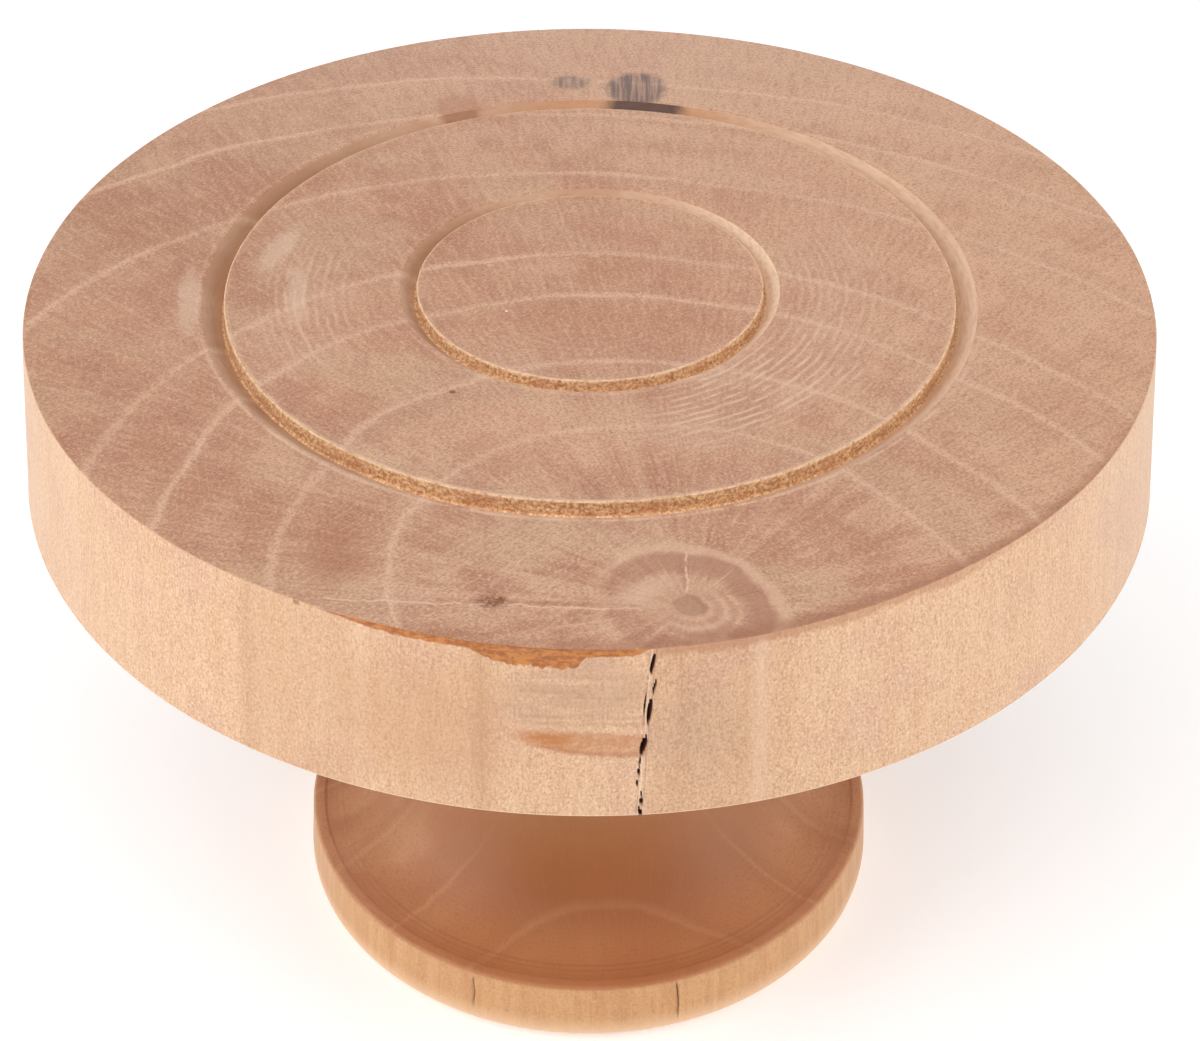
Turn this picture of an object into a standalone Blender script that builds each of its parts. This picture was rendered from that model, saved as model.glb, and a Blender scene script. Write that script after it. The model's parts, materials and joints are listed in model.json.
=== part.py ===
"""Turned-wood turntable display stand, built as an assembly of separate pieces.

A wooden disc with two scribed circles turns on a turned wooden pedestal. A socket-head bolt, two
ball bearings and a three-hole flange nut carry it. Metres, +Z up, origin at the centre of the
footprint, disc axis on Z. Run with: blender --background --python part.py
"""

import math

import bmesh
import bpy
from mathutils import Matrix

MM = 0.001

# Driving dimensions
HEIGHT = 82 * MM
DISC_RADIUS = 60 * MM  # at the working face
DISC_FLARE = 1.8 * MM  # how much wider the disc is at its lower edge
DISC_THICKNESS = 19.6 * MM
FOOT_RADIUS = 34.5 * MM
NECK_RADIUS = 15.3 * MM
TURNING_GAP = 1.5 * MM  # between the disc and the top of the pedestal
SEAT_GAP = 0.3 * MM  # between faces that rest on each other
FIT_GAP = 0.2 * MM  # around a piece that sits in a bore

# Scribed circles in the working face: a steep inner wall and a gently sloping outer one
SCRIBED_CIRCLES = (
    {"inner": 18.55 * MM, "outer": 20.6 * MM, "depth": 1.4 * MM},
    {"inner": 39.0 * MM, "outer": 41.6 * MM, "depth": 1.7 * MM},
)
SCRIBE_DRAFT = 0.1 * MM

# Deep-groove ball bearing, 8 mm bore, 22 mm outside, 7 mm wide
BEARING_BORE_RADIUS = 4.0 * MM
BEARING_RADIUS = 11.0 * MM
BEARING_WIDTH = 7.0 * MM
BEARING_BEVEL = 0.35 * MM
PITCH_RADIUS = 7.5 * MM
BALL_RADIUS = 1.984 * MM
BALL_COUNT = 7
RACE_RADIUS = 2.12 * MM
INNER_LAND_RADIUS = 6.05 * MM
OUTER_LAND_RADIUS = 8.9 * MM
SHIELD_RECESS_RADIUS = 9.7 * MM
SHIELD_RADIUS = 9.4 * MM
SHIELD_THICKNESS = 0.3 * MM
SHIELD_INSET = 0.2 * MM
SHIELD_RECESS_DEPTH = 0.75 * MM
CAGE_RADII = (6.75 * MM, 8.35 * MM)
CAGE_BELOW = 2.7 * MM
CAGE_ABOVE = 1.1 * MM
POCKET_RADIUS = 2.25 * MM

# Fasteners
BOLT_RADIUS = 3.85 * MM  # M8, with its thread left out
BOLT_LENGTH = 60 * MM
BOLT_HEAD_RADIUS = 6.5 * MM
BOLT_HEAD_HEIGHT = 8.0 * MM
BOLT_SOCKET_FLATS = 6.0 * MM
BOLT_SOCKET_DEPTH = 4.0 * MM
HOLE_RADIUS = 4.2 * MM  # through every piece that the bolt passes
WASHER_RADIUS = 8.0 * MM
WASHER_THICKNESS = 1.6 * MM
SPACER_RADIUS = 5.9 * MM
COLLAR_RADIUS = 6.4 * MM
FLANGE_RADIUS = 17.0 * MM
FLANGE_THICKNESS = 2.5 * MM
FLANGE_INSET = 0.5 * MM
BARREL_RADIUS = 5.5 * MM
BARREL_LENGTH = 8.0 * MM
SCREW_COUNT = 3
SCREW_CIRCLE_RADIUS = 11.5 * MM
SCREW_RADIUS = 1.5 * MM
SCREW_HEAD_RADIUS = 2.8 * MM
SCREW_HEAD_HEIGHT = 1.7 * MM
SCREW_LENGTH = 10 * MM
SCREW_TIP_LENGTH = 2.5 * MM
RECESS_SPAN = 2.9 * MM  # the cross recess in the screw's head
RECESS_WIDTH = 0.6 * MM
RECESS_DEPTH = 0.9 * MM

# Non-slip pad under the foot
PAD_RADIUS = 30.2 * MM
PAD_THICKNESS = 2.0 * MM
PAD_PROUD = 0.8 * MM

# Heights, from the floor up
DISC_UNDERSIDE = HEIGHT - DISC_THICKNESS
PEDESTAL_TOP = DISC_UNDERSIDE - TURNING_GAP
UPPER_BEARING_Z = PEDESTAL_TOP - 0.5 * MM - BEARING_WIDTH / 2
LOWER_BEARING_Z = 18.6 * MM
UPPER_SHOULDER = UPPER_BEARING_Z - BEARING_WIDTH / 2 - SEAT_GAP
LOWER_SHOULDER = LOWER_BEARING_Z + BEARING_WIDTH / 2 + SEAT_GAP
WASHER_TOP = LOWER_BEARING_Z - BEARING_WIDTH / 2 - SEAT_GAP
BOLT_HEAD_TOP = WASHER_TOP - WASHER_THICKNESS - SEAT_GAP
FLANGE_BOTTOM = DISC_UNDERSIDE + FLANGE_INSET
FLANGE_TOP = FLANGE_BOTTOM + FLANGE_THICKNESS
BARREL_TOP = FLANGE_TOP + BARREL_LENGTH
BEARING_SEAT_RADIUS = BEARING_RADIUS + FIT_GAP
SHOULDER_RADIUS = 8.5 * MM
PAD_RECESS_RADIUS = PAD_RADIUS + SEAT_GAP
PAD_RECESS_TOP = PAD_THICKNESS + SEAT_GAP

# Facets round a full turn
WOOD_STEPS = 60
METAL_STEPS = 24
SCREW_STEPS = 12
BALL_STEPS = 10

PALE_WOOD = (0.78, 0.52, 0.34)
WARM_WOOD = (0.62, 0.36, 0.21)
BEARING_STEEL = (0.62, 0.63, 0.65)
ZINC = (0.70, 0.71, 0.70)
BLACK_STEEL = (0.06, 0.06, 0.065)
NYLON = (0.80, 0.77, 0.68)
PAD_GREY = (0.07, 0.07, 0.075)


def clear_scene():
    for obj in list(bpy.data.objects):
        bpy.data.objects.remove(obj, do_unlink=True)


def new_collection(name, hidden=False):
    collection = bpy.data.collections.new(name)
    bpy.context.scene.collection.children.link(collection)
    collection.hide_render = hidden
    return collection


def material(name, colour, roughness, metallic=0.0):
    made = bpy.data.materials.new(name)
    made.use_nodes = True
    shader = made.node_tree.nodes["Principled BSDF"]
    shader.inputs["Base Color"].default_value = (*colour, 1.0)
    shader.inputs["Roughness"].default_value = roughness
    shader.inputs["Metallic"].default_value = metallic
    return made


def new_object(name, mesh, collection, parent=None, finish=None, location=(0, 0, 0)):
    obj = bpy.data.objects.new(name, mesh)
    collection.objects.link(obj)
    obj.location = location
    if parent is not None:
        obj.parent = parent
    if finish is not None:
        mesh.materials.append(finish)
    return obj


def empty(name, collection, z=0.0, angle=0.0):
    obj = bpy.data.objects.new(name, None)
    collection.objects.link(obj)
    obj.location = (0, 0, z)
    obj.rotation_euler = (0, 0, angle)
    return obj


def arc(centre, radii, start, end, count):
    """Points on an ellipse about centre, from start to end in degrees, both ends included."""
    points = []
    for step in range(count + 1):
        angle = math.radians(start + (end - start) * step / count)
        r = centre[0] + radii[0] * math.cos(angle)
        z = centre[1] + radii[1] * math.sin(angle)
        points.append((r, z))
    return points


def outline_mesh(name, outline, offset=0.0):
    """A profile of edges in the XZ plane. It closes on itself unless both ends lie on the axis."""
    mesh = bpy.data.meshes.new(name)
    vertices = [(offset + r, 0.0, z) for r, z in outline]
    last = len(outline) - 1
    edges = [(i, i + 1) for i in range(last)]
    if outline[0][0] > 0 or outline[-1][0] > 0:
        edges.append((last, 0))
    mesh.from_pydata(vertices, edges, [])
    return mesh


def turn(obj, steps, axis=None):
    """Turns a profile about Z with a Screw modifier, about another object's axis if one is given."""
    screw = obj.modifiers.new("Turn", "SCREW")
    screw.steps = steps
    screw.render_steps = steps
    screw.use_merge_vertices = True
    screw.merge_threshold = 0.00001
    screw.use_smooth_shade = True
    if axis is not None:
        screw.object = axis


def turned(name, outline, steps, finish, collection, parent=None):
    """A turned piece. Its outline runs from the top, down the outer side, and back up the inside."""
    mesh = outline_mesh(name, outline)
    obj = new_object(name, mesh, collection, parent, finish)
    turn(obj, steps)
    return obj


def cut(target, cutter):
    boolean = target.modifiers.new("Cut " + cutter.name, "BOOLEAN")
    boolean.operation = "DIFFERENCE"
    boolean.solver = "EXACT"
    boolean.object = cutter


def as_cutter(obj):
    obj.hide_render = True
    obj.display_type = "WIRE"
    return obj


def ring_outline(inner, outer, bottom, top):
    """A rectangular section."""
    return [(inner, top), (outer, top), (outer, bottom), (inner, bottom)]


def screw_hole_cutter(name, outline, collection, screw_axis, third_turn):
    """One cutter for the three holes on the screw circle: a turned hole, repeated round Z."""
    mesh = outline_mesh(name, outline, offset=SCREW_CIRCLE_RADIUS)
    cutter = new_object(name, mesh, collection)
    turn(cutter, SCREW_STEPS, screw_axis)
    array = cutter.modifiers.new("Around", "ARRAY")
    array.count = SCREW_COUNT
    array.use_relative_offset = False
    array.use_object_offset = True
    array.offset_object = third_turn
    return as_cutter(cutter)


def disc_outline():
    edge_break = 0.3 * MM
    lower_bevel = 0.5 * MM
    socket_radius = BARREL_RADIUS + SEAT_GAP
    socket_top = BARREL_TOP + 1.5 * MM
    recess_radius = FLANGE_RADIUS + 0.4 * MM
    recess_top = FLANGE_TOP + SEAT_GAP
    lower_radius = DISC_RADIUS + DISC_FLARE
    outline = [(0.0, HEIGHT)]
    for circle in SCRIBED_CIRCLES:
        outline.append((circle["inner"], HEIGHT))
        outline.append((circle["inner"] + SCRIBE_DRAFT, HEIGHT - circle["depth"]))
        outline.append((circle["outer"], HEIGHT))
    outline += [
        (DISC_RADIUS - edge_break, HEIGHT),
        (DISC_RADIUS, HEIGHT - edge_break),
        (lower_radius, DISC_UNDERSIDE + lower_bevel),
        (lower_radius - lower_bevel, DISC_UNDERSIDE),
        (recess_radius, DISC_UNDERSIDE),
        (recess_radius, recess_top),
        (socket_radius, recess_top),
        (socket_radius, socket_top),
        (0.0, socket_top),
    ]
    return outline


def pedestal_outline():
    """Outside from the neck's top down to the foot, then back up through the stepped bore."""
    top_bevel = 0.4 * MM
    top_radius = NECK_RADIUS + 2.2 * MM
    waist_z = 35 * MM
    rim_top = 8.9 * MM
    rim_lean = 0.4 * MM  # how much narrower the rim is at its top
    rim_radius = FOOT_RADIUS - rim_lean
    fillet_radius = rim_radius - 1.6 * MM
    fillet_z = rim_top - 0.35 * MM
    edge = 0.5 * MM
    underside_curve = (1.75 * MM, 1.6 * MM)
    flare = (fillet_radius - NECK_RADIUS, waist_z - fillet_z)
    upper_flare = (top_radius - NECK_RADIUS, PEDESTAL_TOP - top_bevel - waist_z)
    outline = [(BEARING_SEAT_RADIUS + top_bevel, PEDESTAL_TOP)]
    outline.append((top_radius - top_bevel, PEDESTAL_TOP))
    outline += arc((top_radius, waist_z), (-upper_flare[0], upper_flare[1]), 90, 0, 5)
    outline += arc((fillet_radius, waist_z), (-flare[0], -flare[1]), 0, 90, 10)[1:]
    outline.append((fillet_radius, rim_top))
    outline += arc((rim_radius - edge, rim_top - edge), (edge, edge), 90, 0, 3)
    curve_centre = (FOOT_RADIUS - underside_curve[0], PAD_PROUD + underside_curve[1])
    outline += arc(curve_centre, underside_curve, 0, -90, 5)
    outline += [
        (PAD_RECESS_RADIUS, PAD_PROUD),
        (PAD_RECESS_RADIUS, PAD_RECESS_TOP),
        (BEARING_SEAT_RADIUS, PAD_RECESS_TOP),
        (BEARING_SEAT_RADIUS, LOWER_SHOULDER),
        (SHOULDER_RADIUS, LOWER_SHOULDER),
        (SHOULDER_RADIUS, UPPER_SHOULDER),
        (BEARING_SEAT_RADIUS, UPPER_SHOULDER),
        (BEARING_SEAT_RADIUS, PEDESTAL_TOP - top_bevel),
    ]
    return outline


def race(land_radius, count=6):
    """The ball groove in a ring, from its upper edge to its lower one, seen from the balls."""
    side = 1 if land_radius > PITCH_RADIUS else -1
    half_angle = math.degrees(math.acos(abs(land_radius - PITCH_RADIUS) / RACE_RADIUS))
    points = arc((PITCH_RADIUS, 0.0), (side * RACE_RADIUS, RACE_RADIUS), half_angle, -half_angle, count)
    return points


def inner_ring_outline():
    half = BEARING_WIDTH / 2
    bevel = BEARING_BEVEL
    return [
        (BEARING_BORE_RADIUS + bevel, half),
        (INNER_LAND_RADIUS, half),
        *race(INNER_LAND_RADIUS),
        (INNER_LAND_RADIUS, -half),
        (BEARING_BORE_RADIUS + bevel, -half),
        (BEARING_BORE_RADIUS, -half + bevel),
        (BEARING_BORE_RADIUS, half - bevel),
    ]


def outer_ring_outline():
    half = BEARING_WIDTH / 2
    bevel = BEARING_BEVEL
    recess = half - SHIELD_RECESS_DEPTH
    return [
        (SHIELD_RECESS_RADIUS, half),
        (BEARING_RADIUS - bevel, half),
        (BEARING_RADIUS, half - bevel),
        (BEARING_RADIUS, -half + bevel),
        (BEARING_RADIUS - bevel, -half),
        (SHIELD_RECESS_RADIUS, -half),
        (SHIELD_RECESS_RADIUS, -recess),
        (OUTER_LAND_RADIUS, -recess),
        *reversed(race(OUTER_LAND_RADIUS)),
        (OUTER_LAND_RADIUS, recess),
        (SHIELD_RECESS_RADIUS, recess),
    ]


def on_circle(radius, index, count):
    """The index-th of count places round Z, as a turn about Z and a step out along it."""
    turn_to = Matrix.Rotation(2 * math.pi * index / count, 4, "Z")
    return turn_to @ Matrix.Translation((radius, 0, 0))


def ball_mesh():
    mesh = bpy.data.meshes.new("ball")
    work = bmesh.new()
    rings = BALL_STEPS * 2 // 3
    bmesh.ops.create_uvsphere(work, u_segments=BALL_STEPS, v_segments=rings, radius=BALL_RADIUS)
    for face in work.faces:
        face.smooth = True
    work.to_mesh(mesh)
    work.free()
    return mesh


def pocket_mesh(name):
    """Seven radial cylinders, which cut the cage's ball pockets."""
    mesh = bpy.data.meshes.new(name)
    work = bmesh.new()
    length = (CAGE_RADII[1] - CAGE_RADII[0]) * 2
    for index in range(BALL_COUNT):
        lay_flat = Matrix.Rotation(math.pi / 2, 4, "Y")
        place = on_circle(PITCH_RADIUS, index, BALL_COUNT) @ lay_flat
        bmesh.ops.create_cone(
            work,
            cap_ends=True,
            segments=16,
            radius1=POCKET_RADIUS,
            radius2=POCKET_RADIUS,
            depth=length,
            matrix=place,
        )
    work.to_mesh(mesh)
    work.free()
    return mesh


def bearing_meshes():
    """The meshes that both bearings share, each about its own centre."""
    half_shield = SHIELD_THICKNESS / 2
    shield_bore = INNER_LAND_RADIUS + SEAT_GAP
    shield = ring_outline(shield_bore, SHIELD_RADIUS, -half_shield, half_shield)
    meshes = {
        "inner_ring": outline_mesh("inner_ring", inner_ring_outline()),
        "outer_ring": outline_mesh("outer_ring", outer_ring_outline()),
        "cage": outline_mesh("cage", ring_outline(*CAGE_RADII, -CAGE_BELOW, CAGE_ABOVE)),
        "shield": outline_mesh("shield", shield),
        "ball": ball_mesh(),
    }
    steel = material("bearing_steel", BEARING_STEEL, 0.25, 1.0)
    nylon = material("nylon", NYLON, 0.5)
    for piece, mesh in meshes.items():
        mesh.materials.append(nylon if piece == "cage" else steel)
    return meshes


def bearing(prefix, z, meshes, pockets, collection, base, rotor, ball_axis):
    """One shielded ball bearing. Each ring rides on its own side, and the balls on an axis of theirs."""
    shield_z = BEARING_WIDTH / 2 - SHIELD_INSET - SHIELD_THICKNESS / 2
    pieces = (
        ("outer_ring", "outer_ring", base, 0.0),
        ("inner_ring", "inner_ring", rotor, 0.0),
        ("top_shield", "shield", base, shield_z),
        ("bottom_shield", "shield", base, -shield_z),
        ("cage", "cage", ball_axis, 0.0),
    )
    for piece, mesh_name, parent, offset in pieces:
        place = (0, 0, z + offset - parent.location.z)
        obj = new_object(f"{prefix}_{piece}", meshes[mesh_name], collection, parent, location=place)
        turn(obj, METAL_STEPS)
        if piece == "cage":
            cutter = new_object(f"{prefix}_pockets", pockets, bpy.data.collections["cutters"])
            cutter.location.z = z
            cut(obj, as_cutter(cutter))
    for index in range(BALL_COUNT):
        ball = new_object(f"{prefix}_ball_{index + 1}", meshes["ball"], collection, ball_axis)
        ball.matrix_local = on_circle(PITCH_RADIUS, index, BALL_COUNT)


def spindle_bolt(finish, collection, cutters, rotor):
    head_bottom = BOLT_HEAD_TOP - BOLT_HEAD_HEIGHT
    tip = BOLT_HEAD_TOP + BOLT_LENGTH
    bevel = 0.6 * MM
    outline = [
        (0.0, tip),
        (BOLT_RADIUS - bevel, tip),
        (BOLT_RADIUS, tip - bevel),
        (BOLT_RADIUS, BOLT_HEAD_TOP),
        (BOLT_HEAD_RADIUS, BOLT_HEAD_TOP),
        (BOLT_HEAD_RADIUS, head_bottom + bevel),
        (BOLT_HEAD_RADIUS - bevel, head_bottom),
        (0.0, head_bottom),
    ]
    bolt = turned("spindle_bolt", outline, METAL_STEPS, finish, collection, rotor)
    mesh = bpy.data.meshes.new("bolt_socket")
    work = bmesh.new()
    corner_radius = BOLT_SOCKET_FLATS / math.sqrt(3)
    bmesh.ops.create_cone(
        work,
        cap_ends=True,
        segments=6,
        radius1=corner_radius,
        radius2=corner_radius,
        depth=BOLT_SOCKET_DEPTH * 2,
    )
    work.to_mesh(mesh)
    work.free()
    socket = new_object("bolt_socket", mesh, cutters, location=(0, 0, head_bottom))
    cut(bolt, as_cutter(socket))


def flange_nut(finish, collection, cutters, rotor, screw_axis, third_turn):
    """A threaded barrel on a round flange with three countersunk holes."""
    bevel = 0.4 * MM
    outline = [
        (HOLE_RADIUS, BARREL_TOP),
        (BARREL_RADIUS - bevel, BARREL_TOP),
        (BARREL_RADIUS, BARREL_TOP - bevel),
        (BARREL_RADIUS, FLANGE_TOP),
        (FLANGE_RADIUS - bevel, FLANGE_TOP),
        (FLANGE_RADIUS, FLANGE_TOP - bevel),
        (FLANGE_RADIUS, FLANGE_BOTTOM + bevel),
        (FLANGE_RADIUS - bevel, FLANGE_BOTTOM),
        (HOLE_RADIUS, FLANGE_BOTTOM),
    ]
    nut = turned("flange_nut", outline, METAL_STEPS * 2, finish, collection, rotor)
    overshoot = 1.0 * MM
    clearance = SCREW_RADIUS + 0.25 * MM
    sink_radius = SCREW_HEAD_RADIUS + SEAT_GAP
    sink_top = FLANGE_BOTTOM + SCREW_HEAD_HEIGHT + SEAT_GAP
    hole = [
        (0.0, FLANGE_TOP + overshoot),
        (clearance, FLANGE_TOP + overshoot),
        (clearance, sink_top),
        (sink_radius, FLANGE_BOTTOM),
        (sink_radius, FLANGE_BOTTOM - overshoot),
        (0.0, FLANGE_BOTTOM - overshoot),
    ]
    cut(nut, screw_hole_cutter("flange_holes", hole, cutters, screw_axis, third_turn))


def box_cutter(name, size):
    mesh = bpy.data.meshes.new(name)
    work = bmesh.new()
    bmesh.ops.create_cube(work, size=1.0, matrix=Matrix.Diagonal((*size, 1.0)))
    work.to_mesh(mesh)
    work.free()
    return as_cutter(new_object(name, mesh, bpy.data.collections["cutters"]))


def screw_mesh():
    """A countersunk wood screw, head down at z = 0 and point up, with a cross recess in its head."""
    blunt = 0.3 * MM
    rim = 0.2 * MM
    outline = [
        (0.0, SCREW_LENGTH),
        (blunt, SCREW_LENGTH),
        (SCREW_RADIUS, SCREW_LENGTH - SCREW_TIP_LENGTH),
        (SCREW_RADIUS, SCREW_HEAD_HEIGHT),
        (SCREW_HEAD_RADIUS, rim),
        (SCREW_HEAD_RADIUS, 0.0),
        (0.0, 0.0),
    ]
    pattern = turned("screw_pattern", outline, SCREW_STEPS, None, bpy.data.collections["cutters"])
    cut(pattern, box_cutter("recess_along", (RECESS_SPAN, RECESS_WIDTH, 2 * RECESS_DEPTH)))
    cut(pattern, box_cutter("recess_across", (RECESS_WIDTH, RECESS_SPAN, 2 * RECESS_DEPTH)))
    graph = bpy.context.evaluated_depsgraph_get()
    mesh = bpy.data.meshes.new_from_object(pattern.evaluated_get(graph))
    bpy.data.objects.remove(pattern)
    return mesh


def flange_screws(finish, collection, rotor):
    head_face = FLANGE_BOTTOM + 0.05 * MM
    mesh = screw_mesh()
    mesh.materials.append(finish)
    for index in range(SCREW_COUNT):
        name = f"flange_screw_{index + 1}"
        screw = new_object(name, mesh, collection, rotor)
        lift = Matrix.Translation((0, 0, head_face))
        screw.matrix_local = lift @ on_circle(SCREW_CIRCLE_RADIUS, index, SCREW_COUNT)


def turntable_disc(finish, collection, cutters, rotor, screw_axis, third_turn):
    disc = turned("turntable_disc", disc_outline(), WOOD_STEPS, finish, collection, rotor)
    pilot_radius = SCREW_RADIUS + 0.25 * MM
    pilot_bottom = FLANGE_TOP
    pilot_top = FLANGE_BOTTOM + SCREW_LENGTH + 0.5 * MM
    pilot = [
        (0.0, pilot_top),
        (pilot_radius, pilot_top),
        (pilot_radius, pilot_bottom),
        (0.0, pilot_bottom),
    ]
    cut(disc, screw_hole_cutter("pilot_holes", pilot, cutters, screw_axis, third_turn))


def build():
    clear_scene()
    stand = new_collection("turntable_display_stand")
    cutters = new_collection("cutters", hidden=True)

    base = empty("base_axis", stand)
    rotor = empty("turntable_axis", stand)
    upper_ball_axis = empty("upper_ball_axis", stand, UPPER_BEARING_Z)
    lower_ball_axis = empty("lower_ball_axis", stand, LOWER_BEARING_Z)
    screw_axis = empty("screw_axis", cutters)
    screw_axis.location.x = SCREW_CIRCLE_RADIUS
    third_turn = empty("third_turn", cutters, angle=2 * math.pi / SCREW_COUNT)

    pale = material("pale_wood", PALE_WOOD, 0.55)
    warm = material("warm_wood", WARM_WOOD, 0.55)
    zinc = material("zinc_plate", ZINC, 0.35, 1.0)
    black = material("black_steel", BLACK_STEEL, 0.4, 1.0)
    rubber = material("pad_rubber", PAD_GREY, 0.85)

    turntable_disc(pale, stand, cutters, rotor, screw_axis, third_turn)
    turned("pedestal", pedestal_outline(), WOOD_STEPS, warm, stand, base)
    pad = ring_outline(0.0, PAD_RADIUS, 0.0, PAD_THICKNESS)
    turned("non_slip_pad", pad, WOOD_STEPS, rubber, stand, base)

    flange_nut(zinc, stand, cutters, rotor, screw_axis, third_turn)
    flange_screws(zinc, stand, rotor)
    spindle_bolt(black, stand, cutters, rotor)
    turned(
        "bolt_washer",
        ring_outline(HOLE_RADIUS, WASHER_RADIUS, WASHER_TOP - WASHER_THICKNESS, WASHER_TOP),
        METAL_STEPS,
        zinc,
        stand,
        rotor,
    )
    turned(
        "bearing_spacer",
        ring_outline(HOLE_RADIUS, SPACER_RADIUS, LOWER_SHOULDER, UPPER_SHOULDER),
        METAL_STEPS,
        zinc,
        stand,
        rotor,
    )
    turned(
        "upper_collar",
        ring_outline(
            HOLE_RADIUS,
            COLLAR_RADIUS,
            UPPER_BEARING_Z + BEARING_WIDTH / 2 + SEAT_GAP,
            FLANGE_BOTTOM - SEAT_GAP,
        ),
        METAL_STEPS,
        zinc,
        stand,
        rotor,
    )

    meshes = bearing_meshes()
    pockets = pocket_mesh("pockets")
    bearing("upper_bearing", UPPER_BEARING_Z, meshes, pockets, stand, base, rotor, upper_ball_axis)
    bearing("lower_bearing", LOWER_BEARING_Z, meshes, pockets, stand, base, rotor, lower_ball_axis)


build()
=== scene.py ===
"""Looks of the turned-wood turntable display stand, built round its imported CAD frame.

The disc, the pedestal and the pad are turned again as fine meshes with procedural wood and rubber.
Shapes are in millimetres until a mesh is made, and heights are from the floor up.
"""

import json
import math

import bpy
import numpy as np
from mathutils import Matrix, Vector


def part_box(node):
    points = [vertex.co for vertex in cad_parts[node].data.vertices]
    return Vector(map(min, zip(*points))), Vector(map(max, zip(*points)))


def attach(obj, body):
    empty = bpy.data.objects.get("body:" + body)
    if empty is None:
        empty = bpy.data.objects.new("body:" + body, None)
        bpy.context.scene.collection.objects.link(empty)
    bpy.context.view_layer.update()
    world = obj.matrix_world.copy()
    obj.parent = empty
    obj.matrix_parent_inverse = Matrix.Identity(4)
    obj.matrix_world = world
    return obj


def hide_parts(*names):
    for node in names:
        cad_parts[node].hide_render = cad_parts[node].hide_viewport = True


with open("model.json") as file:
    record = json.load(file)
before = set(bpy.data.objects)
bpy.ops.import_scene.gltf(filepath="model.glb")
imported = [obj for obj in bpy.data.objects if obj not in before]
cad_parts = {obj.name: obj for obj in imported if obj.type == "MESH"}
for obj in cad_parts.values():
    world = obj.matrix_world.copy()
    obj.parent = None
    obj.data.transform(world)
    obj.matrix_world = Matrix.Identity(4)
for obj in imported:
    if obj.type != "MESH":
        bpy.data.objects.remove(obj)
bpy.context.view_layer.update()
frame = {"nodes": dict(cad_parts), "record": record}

MM = 0.001

# How far the disc's lower edge stands out beyond its face
DISC_FLARE = 1.8

# Sizes read from the frame, in millimetres
DISC_LOW, DISC_HIGH = (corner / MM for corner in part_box("turntable_disc"))
FOOT_LOW, FOOT_HIGH = (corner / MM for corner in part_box("pedestal"))
PAD_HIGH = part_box("non_slip_pad")[1] / MM
NUT_LOW, NUT_HIGH = (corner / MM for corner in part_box("flange_nut"))
FACE_Z = DISC_HIGH.z
UNDERSIDE_Z = DISC_LOW.z
LOWER_RADIUS = DISC_HIGH.x
DISC_RADIUS = LOWER_RADIUS - DISC_FLARE
FOOT_RADIUS = FOOT_HIGH.x
PEDESTAL_TOP = FOOT_HIGH.z
PAD_PROUD = FOOT_LOW.z

# How far the face's rim stands out at the front, where the wood has dried unevenly
FRONT_BULGE = 0.9

# The scribed circles: inner radius, outer radius, depth
SCRIBED_CIRCLES = ((18.55, 20.6, 1.4), (39, 41.6, 1.7))

# The disc's log: its pith, the direction and shape of its oval rings, their radii, and a small knot
DISC_PITH = (9.3, -54.6)
DISC_RING_TURN = 130
DISC_RING_OVAL = (1.03, 0.865)
DISC_RINGS = (29.5, 41, 54, 62.5, 81, 95.5, 105)
KNOT = (-8.5, -54)

# The pedestal's log, with round rings
FOOT_PITH = (5, -48.9)
FOOT_RINGS = (11, 25.5, 36.5, 48, 60.5, 72, 84)

# Azimuths in degrees: 0 along +X, -90 towards the viewer
FRONT_BULGE_AZIMUTH = -88
CRACK_TOP_AZIMUTH = -84.2
CRACK_BOTTOM_AZIMUTH = -85.3

# Short drying checks in the foot's rim: azimuth, heights of the upper and lower end, half width
FOOT_CHECKS = ((-112.4, 7.9, 4.4, 0.04), (-72.3, 8.4, 2.6, 0.06))


def srgb(red, green, blue):
    """A display colour from 0 to 255 as a linear colour."""
    return tuple(((c / 255 + 0.055) / 1.055) ** 2.4 for c in (red, green, blue))


# ---- meshes


def value_noise(points, seed):
    """Smooth noise from -1 to 1 at each point of a grid, with a new value about every unit."""
    cell = np.floor(points).astype(np.int64)
    part = points - cell
    part = part * part * (3 - 2 * part)
    primes = np.array([374761393, 668265263, 1442695041])
    total = np.zeros(points.shape[:-1])
    for corner in np.ndindex(2, 2, 2):
        weight = np.prod(np.where(corner, part, 1 - part), axis=-1)
        key = (cell + corner) @ primes + seed * 974634777
        key = (key ^ (key >> 13)) * 1274126177
        total += weight * (((key ^ (key >> 16)) & 0xFFFF) / 32767.5 - 1)
    return total


def smoothstep(low, high, value):
    t = np.clip((value - low) / (high - low), 0, 1)
    return t * t * (3 - 2 * t)


def column_angles(count, fine_zones=()):
    """Angles in radians round the axis, closer in the zones (centre, half width, step, in degrees)."""
    angles = np.arange(count) * 360 / count - 180
    for centre, half, step in fine_zones:
        angles = angles[np.abs(angles - centre) > half]
        angles = np.concatenate([angles, np.arange(centre - half, centre + half, step)])
    return np.radians(np.sort(angles))


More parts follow.
